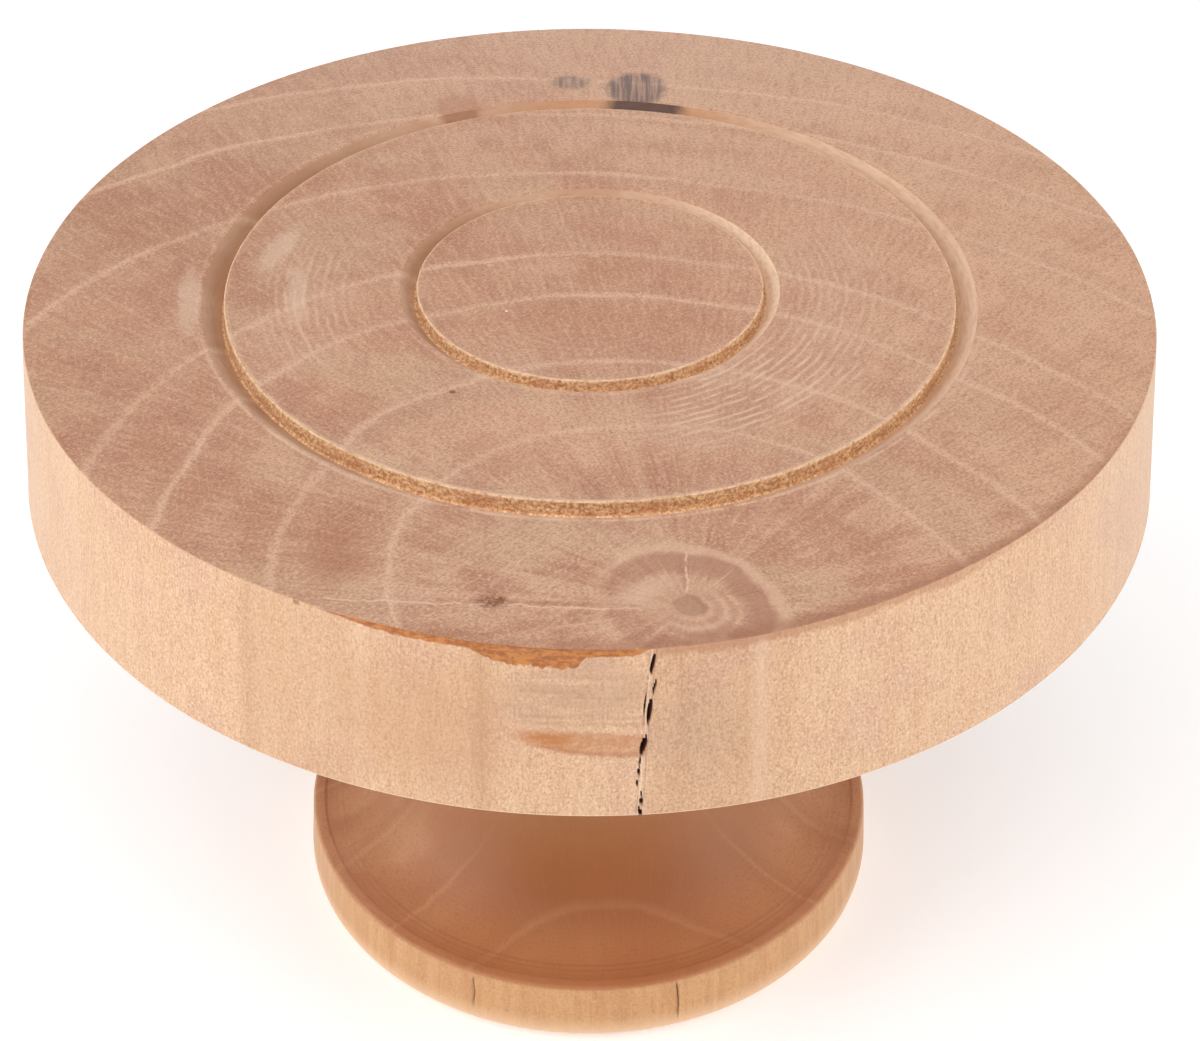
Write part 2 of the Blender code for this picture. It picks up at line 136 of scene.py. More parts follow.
class Outline:
    """A turned profile, drawn from the top centre outwards and down, as rows of radius and height.

    Every stretch between two rows belongs to a zone, which becomes its faces' material.
    """

    def __init__(self, radius, height):
        self.rows = [(radius, height)]
        self.zones = []

    def line(self, radius, height, step, zone=0):
        start = np.array(self.rows[-1])
        end = np.array((radius, height))
        count = max(1, round(float(np.linalg.norm(end - start)) / step))
        for k in range(1, count + 1):
            self.rows.append(tuple(start + (end - start) * k / count))
            self.zones.append(zone)

    def curve(self, centre, radii, start, end, count, zone=0):
        """Part of an ellipse about centre, from start to end in degrees, joined to the last row."""
        for k in range(count + 1):
            angle = math.radians(start + (end - start) * k / count)
            point = (centre[0] + radii[0] * math.cos(angle), centre[1] + radii[1] * math.sin(angle))
            if math.dist(point, self.rows[-1]) > 0.005:
                self.rows.append(point)
                self.zones.append(zone)


def new_object(name, data):
    obj = bpy.data.objects.new(name, data)
    bpy.context.scene.collection.objects.link(obj)
    return obj


def lathe(name, outline, angles, materials, shape=None, closed=False):
    """Turns an outline into a mesh object. shape moves the grid of points: it takes and returns
    radius and height, as arrays with a row for each outline row and a column for each angle."""
    rows = np.array(outline.rows)
    count, columns = len(rows), len(angles)
    radius = np.repeat(rows[:, :1], columns, axis=1)
    height = np.repeat(rows[:, 1:], columns, axis=1)
    azimuth = np.repeat(angles[None, :], count, axis=0)
    if shape is not None:
        radius, height = shape(radius, height, azimuth)
    grid = np.stack([radius * np.cos(azimuth), radius * np.sin(azimuth), height], axis=-1)
    index = np.arange(count * columns).reshape(count, columns)
    for row in (0, count - 1):
        if rows[row, 0] == 0 and not closed:
            index[row] = index[row, 0]
            grid[row] = grid[row].mean(axis=0)
    following = np.roll(index, -1, axis=1)
    lower = np.roll(index, -1, axis=0)
    lower_following = np.roll(following, -1, axis=0)
    last = count if closed else count - 1
    faces, zones = [], []
    for row in range(last):
        quads = np.stack([index[row], lower[row], lower_following[row], following[row]], axis=1)
        faces += [list(dict.fromkeys(quad)) for quad in quads.tolist()]
        zones += [outline.zones[min(row, len(outline.zones) - 1)]] * columns
    used = np.unique(index)
    renumber = np.zeros(count * columns, dtype=int)
    renumber[used] = np.arange(len(used))
    points = grid.reshape(-1, 3)[used] * MM
    mesh = bpy.data.meshes.new(name)
    mesh.from_pydata(points.tolist(), [], [[int(renumber[v]) for v in face] for face in faces])
    for material in materials:
        mesh.materials.append(material)
    mesh.polygons.foreach_set("material_index", zones)
    mesh.polygons.foreach_set("use_smooth", [True] * len(faces))
    mesh.update()
    return new_object(name, mesh)


# ---- materials


class Nodes:
    """A short way to write a material's node tree. Each method adds a node and returns its output."""

    def __init__(self, name, roughness=0.5, metallic=0, specular=0.5, sheen=0):
        self.material = bpy.data.materials.new(name)
        self.material.use_nodes = True
        self.tree = self.material.node_tree
        self.shader = self.tree.nodes["Principled BSDF"]
        self.shader.inputs["Roughness"].default_value = roughness
        self.shader.inputs["Metallic"].default_value = metallic
        self.shader.inputs["Specular IOR Level"].default_value = specular
        self.shader.inputs["Sheen Weight"].default_value = sheen
        self.shader.inputs["Sheen Roughness"].default_value = 0.4
        coordinates = self.add("ShaderNodeTexCoord")
        self.normal = coordinates.outputs["Normal"]
        self.place = self.vector("SCALE", coordinates.outputs["Object"], scale=1 / MM)
        split = self.add("ShaderNodeSeparateXYZ", {"Vector": self.place})
        self.x, self.y, self.z = split.outputs

    def add(self, kind, inputs=None, **settings):
        node = self.tree.nodes.new(kind)
        for key, value in settings.items():
            setattr(node, key, value)
        for key, value in (inputs or {}).items():
            self.put(value, node.inputs[key])
        return node

    def put(self, value, socket):
        """Links an output to a socket, or sets the socket to a constant."""
        if isinstance(value, bpy.types.NodeSocket):
            self.tree.links.new(value, socket)
        else:
            socket.default_value = value

    def math(self, operation, a, b=0, clamp=False):
        return self.add("ShaderNodeMath", {0: a, 1: b}, operation=operation, use_clamp=clamp).outputs[0]

    def times(self, a, b):
        return self.math("MULTIPLY", a, b)

    def plus(self, a, b):
        return self.math("ADD", a, b)

    def vector(self, operation, a, b=(0, 0, 0), scale=1):
        inputs = {0: a, "Scale": scale} if operation == "SCALE" else {0: a}
        if operation not in ("SCALE", "LENGTH"):
            inputs[1] = b
        node = self.add("ShaderNodeVectorMath", inputs, operation=operation)
        return node.outputs["Value" if operation == "LENGTH" else "Vector"]

    def off(self, value, place):
        """How far value lies from place, on either side."""
        return self.math("ABSOLUTE", self.plus(value, -place))

    def reach(self):
        """The distance from the turning axis."""
        return self.vector("LENGTH", self.join(self.x, self.y))

    def azimuth(self):
        """Degrees about the turning axis: 0 along +X."""
        return self.times(self.math("ARCTAN2", self.y, self.x), 180 / math.pi)

    def join(self, x, y, z=0):
        return self.add("ShaderNodeCombineXYZ", {"X": x, "Y": y, "Z": z}).outputs[0]

    def ramp(self, value, low, high, to_low=0, to_high=1):
        """A smooth step of value from low to high."""
        inputs = {"Value": value, "From Min": low, "From Max": high, "To Min": to_low, "To Max": to_high}
        return self.add("ShaderNodeMapRange", inputs, interpolation_type="SMOOTHSTEP").outputs[0]

    def noise(self, place, scale=1, detail=2, roughness=0.5):
        inputs = {"Vector": place, "Scale": scale, "Detail": detail, "Roughness": roughness}
        return self.add("ShaderNodeTexNoise", inputs).outputs[0]

    def stretched(self, stretch, turn=0):
        """The place, multiplied along each axis. The first axis lies at turn degrees from X about Z."""
        inputs = {"Vector": self.place, "Angle": math.radians(-turn)}
        turned = self.add("ShaderNodeVectorRotate", inputs, rotation_type="Z_AXIS").outputs[0]
        return self.add("ShaderNodeMapping", {"Vector": turned, "Scale": stretch}).outputs[0]

    def grain(self, stretch, detail=2, roughness=0.5, turn=0):
        """Noise that is stretched along the axes, as wood is along its fibres."""
        return self.noise(self.stretched(stretch, turn), 1, detail, roughness)

    def mix(self, share, a, b, blend="MIX"):
        node = self.add("ShaderNodeMix", data_type="RGBA", blend_type=blend)
        for socket, value in ((node.inputs[0], share), (node.inputs[6], a), (node.inputs[7], b)):
            self.put((*value, 1) if isinstance(value, tuple) else value, socket)
        return node.outputs[2]

    def tint(self, share, tone, strength=None):
        """Lays a display colour from 0 to 255 over the colour so far."""
        if strength is not None:
            share = self.times(share, strength)
        self.colour = self.mix(share, self.colour, srgb(*tone))

    def shade(self, value, low, high, most, tone):
        """Lays a display colour over the colour so far, from nothing at low to most at high."""
        self.tint(self.ramp(value, low, high, 0, most), tone)

    def between(self, value, start, end):
        """1 between two soft edges. Each edge is a pair: the value where it is 0, and where it is 1."""
        return self.times(self.ramp(value, *start), self.ramp(value, *end))

    def total(self, *weighted):
        """The sum of pairs of a value and its weight."""
        terms = [self.times(*pair) for pair in weighted]
        result = terms[0]
        for term in terms[1:]:
            result = self.plus(result, term)
        return result

    def lines(self, value, span, places, half_width):
        """1 at each place along value, falling to 0 at half_width on each side."""
        node = self.add("ShaderNodeValToRGB", {"Fac": self.times(value, 1 / span)})
        ramp = node.color_ramp
        ramp.interpolation = "EASE"
        stops = [(0, 0)]
        for place in places:
            for position, level in ((place - half_width, 0), (place, 1), (place + half_width, 0)):
                stops.append((position / span, level))
        ramp.elements.remove(ramp.elements[1])
        ramp.elements[0].position = 0
        ramp.elements[0].color = (0, 0, 0, 1)
        for position, level in stops[1:]:
            ramp.elements.new(position).color = (level, level, level, 1)
        return node.outputs["Color"]

    def blob(self, across, along, centre, radii, edge=0.5, turn=0, ragged=0, grain=0.8):
        """A soft oval spot, 1 inside and 0 outside, in the plane of two coordinates."""
        c, s = math.cos(math.radians(turn)), math.sin(math.radians(turn))
        u = self.plus(across, -centre[0])
        v = self.plus(along, -centre[1])
        p = self.plus(self.times(u, c / radii[0]), self.times(v, s / radii[0]))
        q = self.plus(self.times(u, -s / radii[1]), self.times(v, c / radii[1]))
        away = self.vector("LENGTH", self.join(p, q))
        if ragged:
            rough = self.noise(self.place, grain, 4, 0.65)
            away = self.plus(away, self.times(self.plus(rough, -0.5), ragged))
        return self.ramp(away, 1 + edge / 2, 1 - edge / 2)

    def finish(self, colour, height=None, roughness=None):
        """Links the colour, the roughness, and a height in millimetres as bump."""
        self.put(colour, self.shader.inputs["Base Color"])
        if roughness is not None:
            self.put(roughness, self.shader.inputs["Roughness"])
        if height is not None:
            normal = self.add("ShaderNodeBump", {"Height": height, "Distance": MM}).outputs["Normal"]
            self.put(normal, self.shader.inputs["Normal"])
        return self.material


class Log:
    """Where a point of the wood lies in its log: its distance from the pith, its turn, and its rings."""

    def __init__(self, n, pith, rings, turn=0, oval=(1, 1), span=120, line=0.75):
        wobble = n.plus(n.grain((0.05, 0.05, 0.02)), -0.5)
        ripple = n.plus(n.grain((0.5, 0.5, 0.05), 3), -0.5)
        c, s = math.cos(math.radians(turn)), math.sin(math.radians(turn))
        u = n.plus(n.x, -pith[0])
        v = n.plus(n.y, -pith[1])
        along = n.times(n.plus(n.times(u, c), n.times(v, s)), 1 / oval[0])
        across = n.times(n.plus(n.times(v, c), n.times(u, -s)), 1 / oval[1])
        plain = n.vector("LENGTH", n.join(along, across))
        share = n.ramp(plain, 0, 25)
        shift = n.plus(n.times(wobble, 3.5), n.times(ripple, 0.8))
        self.radius = n.plus(plain, n.times(shift, share))
        self.turn = n.math("ARCTAN2", v, u)
        self.ring_lines = n.lines(self.radius, span, rings, line)
        self.ring_halos = n.lines(self.radius, span, rings, 3.4)
        arc_place = n.join(n.times(self.turn, 110), n.times(self.radius, 0.22))
        self.rays = n.noise(arc_place, 1, 3, 0.6)
        patch_place = n.join(n.times(self.turn, 3.2), n.times(self.radius, 0.16), 3)
        cloudy = n.noise(patch_place, 1, 3, 0.55)
        wedge_place = n.join(n.times(self.turn, 7), n.times(self.radius, 0.03), 8)
        wedges = n.ramp(n.noise(wedge_place, 1, 2, 0.6), 0.42, 0.58)
        ring_number = 0
        for ring in rings:
            ring_number = n.plus(n.math("GREATER_THAN", self.radius, ring), ring_number)
        sector_place = n.join(n.times(self.turn, 5.5), n.times(ring_number, 7.3), 20)
        sectors = n.ramp(n.noise(sector_place, 1, 1), 0.43, 0.57)
        tones = n.plus(n.times(wedges, 0.27), n.times(sectors, 0.25))
        self.patches = n.plus(n.times(n.ramp(cloudy, 0.3, 0.7), 0.48), tones)


def scratches(n, turns, low=0.66, high=0.78):
    """Faint straight scratches along each of the turns in degrees, 0 to 1."""
    total = 0
    for number, turn in enumerate(turns):
        shifted = n.vector("ADD", n.stretched((0.12, 5, 0.1), turn), (40 * number, 40 * number, 0))
        line = n.ramp(n.noise(shifted, 1, 1), low, high)
        total = n.math("MAXIMUM", line, total)
    return total


def felt(n):
    """Short fibres that lie across each other, from -0.5 to 0.5."""
    one = n.grain((1.5, 6.5, 2), 2, 0.6, turn=52)
    other = n.grain((1.8, 6, 2), 2, 0.6, turn=-38)
    return n.plus(n.times(n.plus(one, other), 0.5), -0.5)


def tool_marks(n, reach, pitch):
    """Fine rings about the turning axis, 0 to 1, as a gouge leaves them."""
    drift = n.grain((0.1, 0.1, 0))
    phase = n.plus(n.times(reach, 2 * math.pi / pitch), n.times(drift, 9))
    return n.plus(n.times(n.math("SINE", phase), 0.5), 0.5)


def end_grain():
    """The disc's faces: pinkish tan with greyer sectors, pale growth rings, rays and tool marks."""
    n = Nodes("disc_end_grain", roughness=0.55, sheen=0.1)
    log = Log(n, DISC_PITH, DISC_RINGS, DISC_RING_TURN, DISC_RING_OVAL)
    reach = n.reach()
    marks = tool_marks(n, reach, 1)
    azimuth = n.azimuth()
    speckle = n.noise(n.place, 3.4, 2, 0.7)
    fibres = felt(n)

    n.colour = n.mix(n.ramp(log.patches, 0.15, 0.85), srgb(179, 126, 99), srgb(209, 168, 139))
    blush = n.grain((0.035, 0.035, 0.035))
    n.tint(n.ramp(blush, 0.42, 0.62), (197, 140, 113), 0.35)
    middle = n.blob(n.x, n.y, (-2, 2), (26, 24), 1.4, ragged=0.3, grain=0.08)
    n.tint(middle, (188, 129, 99), 0.5)
    greyer = n.grain((0.05, 0.11, 0.05), turn=-22)
    n.tint(n.ramp(greyer, 0.5, 0.64), (204, 170, 140), 0.5)
    n.shade(n.plus(n.x, n.times(n.y, 0.4)), -10, 55, 0.55, (224, 180, 149))
    n.shade(n.y, 22, 52, 0.4, (214, 178, 156))
    n.shade(n.x, -20, -52, 0.35, (180, 132, 106))
    for centre, radii, share, tone in (
        ((-3, -27.5), (11, 6), 0.4, (224, 178, 150)),
        ((-3, -9), (14, 5), 0.3, (184, 126, 95)),
        ((-24, -45), (9, 5), 0.34, (182, 128, 92)),
        ((1.9, 3.6), (3.4, 2.4), 0.42, (180, 120, 80)),
        ((-4.2, 3.2), (2.8, 2.2), 0.3, (218, 182, 156)),
    ):
        spot = n.blob(n.x, n.y, centre, radii, 1.2, ragged=0.7, grain=0.35)
        n.tint(spot, tone, share)

    # growth rings: pale lines of uneven strength, each with a soft halo and a darker edge
    n.tint(log.ring_halos, (220, 182, 154), 0.2)
    ring_strength = n.ramp(n.grain((0.06, 0.06, 0)), 0.35, 0.62, 0.42, 0.82)
    n.tint(n.times(log.ring_lines, ring_strength), (230, 193, 166))
    ring_edge = n.times(n.math("SUBTRACT", log.ring_halos, log.ring_lines, clamp=True), 0.16)
    n.tint(ring_edge, (172, 122, 98))

    # rays, crossed fibres, speckle and scratches
    n.shade(log.rays, 0.48, 0.66, 0.3, (222, 182, 154))
    n.shade(log.rays, 0.5, 0.34, 0.22, (160, 112, 88))
    n.shade(fibres, 0.01, 0.14, 0.42, (232, 194, 166))
    n.shade(fibres, -0.01, -0.14, 0.42, (150, 102, 78))
    n.shade(speckle, 0.5, 0.32, 0.5, (152, 104, 78))
    n.shade(speckle, 0.52, 0.7, 0.45, (230, 194, 168))
    scratch = scratches(n, (18, -35, 62, -78, 49))
    n.tint(scratch, (232, 200, 176), 0.22)
    brushed = n.blob(n.x, n.y, (-6, -50), (22, 9), 1.2, ragged=0.6, grain=0.1)
    strokes = scratches(n, (49, 44), 0.56, 0.7)
    n.tint(n.times(brushed, strokes), (232, 202, 180), 0.26)

    # painted highlights: fan-shaped patches where the turning marks show pale, as they catch the light,
    # with painted shade in the marks' grooves
    bright_highlight_fan = n.blob(n.x, n.y, (17.5, -19), (13, 6), 1.1, turn=41, ragged=0.8, grain=0.12)
    right_highlight_fan = n.blob(n.x, n.y, (26, 0), (5.5, 11), 1.2, ragged=0.9, grain=0.12)
    left_highlight_fan = n.blob(n.x, n.y, (-30, -5), (5, 11.5), 1.2, ragged=0.9, grain=0.12)
    front_highlight_fan = n.blob(n.x, n.y, (-2, -11.5), (11, 3), 1.2, ragged=0.9, grain=0.15)
    side_highlight_fans = n.math("MAXIMUM", n.times(right_highlight_fan, 0.45), n.times(left_highlight_fan, 0.5))
    highlight_fans = n.math("MAXIMUM", bright_highlight_fan, n.math("MAXIMUM", side_highlight_fans, n.times(front_highlight_fan, 0.25)))
    patchy = n.noise(n.join(n.times(azimuth, 0.13), n.times(reach, 0.9)), 1, 2, 0.6)
    highlight_shown = n.times(highlight_fans, n.ramp(patchy, 0.38, 0.62))
    n.tint(n.times(highlight_shown, n.ramp(marks, 0.45, 0.1, 0, 0.26)), (164, 116, 90))
    n.tint(n.times(highlight_shown, n.ramp(marks, 0.5, 0.92, 0, 0.62)), (234, 206, 180))
    n.tint(highlight_fans, (226, 192, 166), 0.18)
    scuffs = 0
    for centre, radii, turn in (
        ((-34, 7), (1.3, 4.2), -18),
        ((-31.2, -2.5), (1, 5), 4),
        ((-42.5, -4), (1.2, 6), 6),
    ):
        scuff = n.blob(n.x, n.y, centre, radii, 1, turn=turn, ragged=1.1, grain=0.5)
        scuffs = n.math("MAXIMUM", scuff, scuffs)
    n.tint(scuffs, (236, 212, 192), 0.34)

    # painted highlights: pale broken lines beside the scribed circles' edges, stronger at the front
    places = [place for inner, outer, _ in SCRIBED_CIRCLES for place in (inner - 0.2, outer + 0.2)]
    edges = n.lines(reach, 80, places, 0.28)
    edge_highlight_strength = n.ramp(n.grain((0.35, 0.35, 0)), 0.35, 0.6, 0.15, 0.7)
    edge_highlight_strength = n.times(edge_highlight_strength, n.ramp(n.y, 0, -25, 0.35, 1))
    n.tint(n.times(edges, edge_highlight_strength), (238, 204, 174))

    # the pale check line with its knot, and the specks
    swing = n.times(n.noise(n.join(n.times(n.x, 0.4), 0), 1, 3), 1.6)
    line = n.plus(n.plus(n.y, 55.7), n.plus(n.times(n.x, 0.045), n.times(swing, -1)))
    check = n.times(n.ramp(n.math("ABSOLUTE", line), 0.18, 0.05), n.between(n.x, (-27, -22), (7, 3)))
    broken = n.ramp(n.noise(n.join(n.times(n.x, 0.7), 5), 1, 2), 0.36, 0.52, 0.25, 1)
    n.tint(n.times(check, broken), (238, 210, 188), 0.5)
    smudge = n.blob(n.x, n.y, (-23.5, -47.5), (2.6, 4.5), 1.2, ragged=0.8, grain=0.4)
    n.tint(smudge, (166, 112, 84), 0.35)
    knot = n.blob(n.x, n.y, KNOT, (1.35, 0.95), 0.9, ragged=1.6, grain=1.8)
    knot_grain = n.ramp(n.noise(n.place, 2.4, 2, 0.7), 0.4, 0.6, 0.95, 0.3)
    n.tint(n.times(knot, knot_grain), (134, 80, 52))
    speck = n.blob(n.x, n.y, (-13.8, -20.6), (0.35, 0.3), 0.5)
    n.tint(speck, (118, 78, 58), 0.85)
    mote = n.blob(n.x, n.y, (-8.8, -5.5), (0.16, 0.16), 0.5)
    n.tint(mote, (250, 236, 220))

    # the pith: a greyish core, broken pale rings round it, and a darker ring zone
    unsteady = n.plus(log.radius, n.times(n.plus(n.noise(n.place, 0.28, 2, 0.5), -0.5), 1.8))
    back_right = n.ramp(n.math("COSINE", n.plus(log.turn, -0.7)), -0.7, 0.5, 0.4, 1)
    heart = n.times(n.between(unsteady, (9, 7.9), (4.6, 6.2)), back_right)
    n.tint(heart, (170, 118, 98), 0.6)
    outer_ring = n.between(unsteady, (10.4, 9.4), (8, 9))
    n.tint(n.times(outer_ring, back_right), (226, 190, 162), 0.46)
    n.shade(unsteady, 5.6, 3.4, 0.42, (206, 168, 142))
    beside_pith = (DISC_PITH[0] - 4.5, DISC_PITH[1] + 2)
    whitish = n.blob(n.x, n.y, beside_pith, (2.8, 1.4), 1.2, turn=35, ragged=1.4, grain=0.8)
    n.tint(whitish, (228, 196, 172), 0.4)
    front_right = n.ramp(n.math("COSINE", n.plus(log.turn, 0.75)), -0.4, 0.7, 0.15, 1)
    tight = n.math("SINE", n.times(unsteady, 4.2))
    tight_zone = n.times(n.between(log.radius, (6.2, 4.2), (1.6, 2.1)), front_right)
    n.tint(n.times(tight_zone, n.ramp(tight, 0, 0.9, 0, 0.3)), (228, 190, 166))
    n.tint(n.times(tight_zone, n.ramp(tight, -0.3, -0.9, 0, 0.25)), (176, 128, 104))
    core_radius = n.plus(log.radius, n.times(n.plus(n.noise(n.place, 0.9, 2), -0.5), 0.9))
    core = n.ramp(core_radius, 1.65, 1.3)
    n.tint(core, (160, 124, 96), 0.5)
    core_rim = n.between(core_radius, (2, 1.6), (1.1, 1.5))
    core_dark = n.ramp(n.math("COSINE", n.plus(log.turn, -0.5)), 0.1, 0.8)
    n.tint(n.times(core_rim, core_dark), (146, 96, 76), 0.5)
    # short radial checks: turn in radians, nearest and farthest distance, paleness
    for turn, near, far, light in ((0.91, 4.3, 7.8, 0.36), (0.34, 5.4, 8.4, 0), (1.95, 4, 7.2, 0.16)):
        aside = n.times(n.math("ABSOLUTE", n.math("SINE", n.plus(log.turn, -turn))), log.radius)
        ahead = n.math("GREATER_THAN", n.math("COSINE", n.plus(log.turn, -turn)), 0)
        reached = n.between(log.radius, (near - 0.5, near + 0.5), (far + 0.5, far - 0.5))
        ray = n.times(n.times(n.ramp(aside, 0.16, 0.05), ahead), reached)
        tone = (234, 202, 178) if light else (148, 98, 78)
        n.tint(ray, tone, light or 0.4)
    bend = n.times(n.plus(n.noise(n.join(4, n.times(n.y, 0.5)), 1, 2), -0.5), 0.7)
    lane = n.plus(n.plus(n.x, -DISC_PITH[0] + 0.1), bend)
    near, far = DISC_PITH[1] + 2, DISC_PITH[1] + 7.9
    length = n.between(n.y, (near - 0.3, near + 0.3), (far + 0.7, far - 0.7))
    gaps = n.ramp(n.noise(n.join(2, n.times(n.y, 0.9)), 1, 1), 0.4, 0.5, 0.3, 1)
    upright = n.times(n.times(n.ramp(n.math("ABSOLUTE", lane), 0.16, 0.05), length), gaps)
    n.tint(upright, (240, 212, 190), 0.55)

    # a slightly warmer tone all over, then the stains at the back and the smear along the rim
    n.colour = n.mix(1, n.colour, (1.02, 0.965, 0.91), "MULTIPLY")
    ink = n.blob(n.x, n.y, (5.3, 44), (3.4, 4.2), 0.4, ragged=0.5, grain=0.8)
    ink_small = n.blob(n.x, n.y, (-2.6, 45.6), (2.1, 1.7), 0.7, ragged=1.3, grain=0.8)
    pen = n.ramp(n.grain((2.2, 0.12, 0)), 0.3, 0.62, 0.35, 0.85)
    n.tint(n.times(n.math("MAXIMUM", ink, n.times(ink_small, 0.8)), pen), (96, 78, 78))
    amber = n.blob(azimuth, reach, (112, 42), (3.6, 3.6), 0.8, ragged=0.7, grain=0.5)
    n.tint(amber, (172, 108, 76), 0.4)
    rim_side = n.blob(azimuth, reach, (-58, DISC_RADIUS + 0.4), (36, 1.4), 1, ragged=0.9, grain=0.35)
    n.tint(rim_side, (160, 104, 76), 0.55)

    raised = n.times(marks, n.plus(n.times(highlight_shown, 0.8), 0.15))
    grown = ((speckle, 0.022), (fibres, 0.02), (raised, 0.01), (log.ring_lines, 0.012))
    height = n.total(*grown, (scratch, -0.008), (knot, -0.05))
    roughness = n.ramp(n.plus(speckle, n.times(highlight_fans, -0.15)), 0.2, 0.8, 0.46, 0.66)
    return n.finish(n.colour, height, roughness)


def side_grain():
    """The disc's wall: pale upright fibres, ring edges, the bark seam, streaks and a grey patch."""
    n = Nodes("disc_side_grain", roughness=0.55, sheen=0.15)
    azimuth = n.azimuth()
    fibres = n.grain((4.6, 4.6, 0.45), 3, 0.65)
    threads = n.grain((0.9, 0.9, 0.02), 3, 0.55)
    speckle = n.grain((4.2, 4.2, 3.2), 2, 0.7)
    cloud = n.grain((0.09, 0.09, 0.08), 3, 0.5)
    flush = n.noise(n.vector("ADD", n.stretched((0.13, 0.13, 0.13)), (50, 0, 0)), 1, 3, 0.5)

    n.colour = n.mix(n.ramp(threads, 0.3, 0.7), srgb(218, 172, 133), srgb(224, 182, 146))
    n.tint(n.ramp(cloud, 0.45, 0.62), (218, 174, 134), 0.4)
    n.tint(n.ramp(flush, 0.5, 0.64), (210, 164, 138), 0.45)
    n.shade(fibres, 0.48, 0.34, 0.34, (186, 138, 102))
    n.shade(fibres, 0.52, 0.66, 0.26, (236, 202, 168))
    n.shade(speckle, 0.52, 0.68, 0.62, (240, 210, 178))
    n.shade(speckle, 0.48, 0.32, 0.6, (176, 128, 94))

    # growth-line edges, and the tones between them
    turned = n.plus(azimuth, n.times(n.grain((0, 0, 0.25)), 0.9))
    shifted = n.plus(turned, 180)
    darker_places = (19, 47, 59.1, 81.6, 110.6, 134.1, 172, 214, 262, 301)
    paler_places = (12, 34, 70.6, 105.6, 124.6, 144.1, 196, 238, 284, 330)
    n.tint(n.lines(shifted, 360, darker_places, 0.35), (176, 122, 84), 0.34)
    n.tint(n.lines(shifted, 360, paler_places, 0.4), (244, 212, 182), 0.45)
    dull = n.between(turned, (-121, -119.6), (-109, -111))
    n.tint(dull, (196, 150, 112), 0.22)
    russet = n.blob(azimuth, n.z, (-104, 72), (7.5, 7), 1.2, ragged=0.7, grain=0.3)
    n.tint(russet, (196, 142, 100), 0.42)
    greyed = n.between(turned, (-84.8, -83.5), (-69, -77))
    n.colour = n.mix(greyed, n.colour, (0.9, 0.86, 0.84), "MULTIPLY")

    # greyish banded area left of the crack, the orange streak in it, and the grey patch right of it
    below_face = n.plus(n.times(n.z, -1), FACE_Z)
    left_of_crack = n.ramp(n.plus(azimuth, n.times(below_face, 0.058)), -83.9, -84.5)
    banded = n.blob(azimuth, below_face, (-91, 5.2), (6.2, 4.4), 0.8, ragged=0.6, grain=0.3)
    bands = n.grain((0.12, 0.12, 1.1), 3, 0.6)
    banding = n.times(n.times(banded, left_of_crack), n.ramp(bands, 0.38, 0.6, 0.12, 0.55))
    n.tint(banding, (186, 146, 118))
    uneven = n.times(n.plus(n.grain((0.35, 0.35, 0.35), 3, 0.6), -0.5), 0.9)
    level = n.plus(below_face, uneven)
    to_crack = n.times(n.ramp(azimuth, -97.5, -94.5), left_of_crack)
    bands_below = ((4.9, 0.3, 0.2), (5.5, 0.22, 0.22), (7.6, 0.28, 0.26), (8.4, 0.22, 0.2))
    for depth, half_height, share in bands_below:
        away = n.off(level, depth)
        band = n.times(n.ramp(away, half_height * 1.5, half_height * 0.3), to_crack)
        n.tint(band, (170, 122, 94), share)
    shape = n.blob(azimuth, level, (-88.2, 10.8), (7.4, 1.35), 0.45, turn=5, ragged=0.5, grain=0.9)
    streak = n.times(shape, left_of_crack)
    wander = n.plus(azimuth, n.times(n.noise(n.place, 0.5, 3, 0.6), 4))
    strong = n.times(n.ramp(wander, -91.5, -87.5, 0.92, 0.6), n.ramp(level, 12.2, 10.4, 0.75, 1))
    mottled = n.ramp(n.grain((1, 1, 2.2), 3, 0.65), 0.3, 0.6, 0.6, 1)
    n.tint(n.times(n.times(streak, strong), mottled), (186, 112, 50))
    inner = n.blob(azimuth, level, (-88, 10.7), (6.6, 1), 0.5, turn=5, ragged=0.5, grain=0.9)
    border = n.times(n.math("SUBTRACT", streak, inner, clamp=True), n.ramp(level, 10.7, 11.2))
    n.tint(border, (164, 98, 56), 0.45)
    grey = n.blob(azimuth, below_face, (-80.2, 10), (3.4, 4.6), 1.6, ragged=0.9, grain=0.4)
    n.tint(grey, (160, 130, 100), 0.2)

    # bark seam under the rim, with a ragged lower edge, and the smear that follows it to the right
    ragged = n.plus(n.grain((1.1, 1.1, 0.3), 4, 0.6), -0.5)
    deep = n.between(azimuth, (-100.5, -96.5), (-89.8, -91))
    reach_down = n.plus(n.times(deep, 1.35), n.times(n.ramp(azimuth, -116, -106), 0.72))
    reach_down = n.times(reach_down, n.ramp(azimuth, -84.2, -86))
    edge = n.plus(reach_down, n.times(n.times(ragged, reach_down), 0.75))
    bark = n.ramp(n.plus(edge, n.times(below_face, -1)), -0.1, 0.14)
    bark_grain = n.ramp(n.grain((1.2, 1.2, 2.4), 3, 0.7), 0.38, 0.62)
    bark_colour = n.mix(bark_grain, srgb(156, 82, 26), srgb(196, 122, 52))
    n.colour = n.mix(n.times(bark, 0.92), n.colour, bark_colour)
    wandering = n.plus(below_face, n.times(n.grain((0.25, 0.25, 0), 3, 0.6), -2.2))
    right_span = n.between(azimuth, (-86, -83), (-36, -62))
    smear = n.times(n.ramp(wandering, 0.1, -0.6), right_span)
    n.tint(smear, (180, 120, 82), 0.55)
    notch = n.blob(azimuth, below_face, (-116, 0.1), (0.3, 0.35), 0.8, ragged=0.8, grain=1.5)
    n.tint(notch, (134, 84, 56), 0.6)

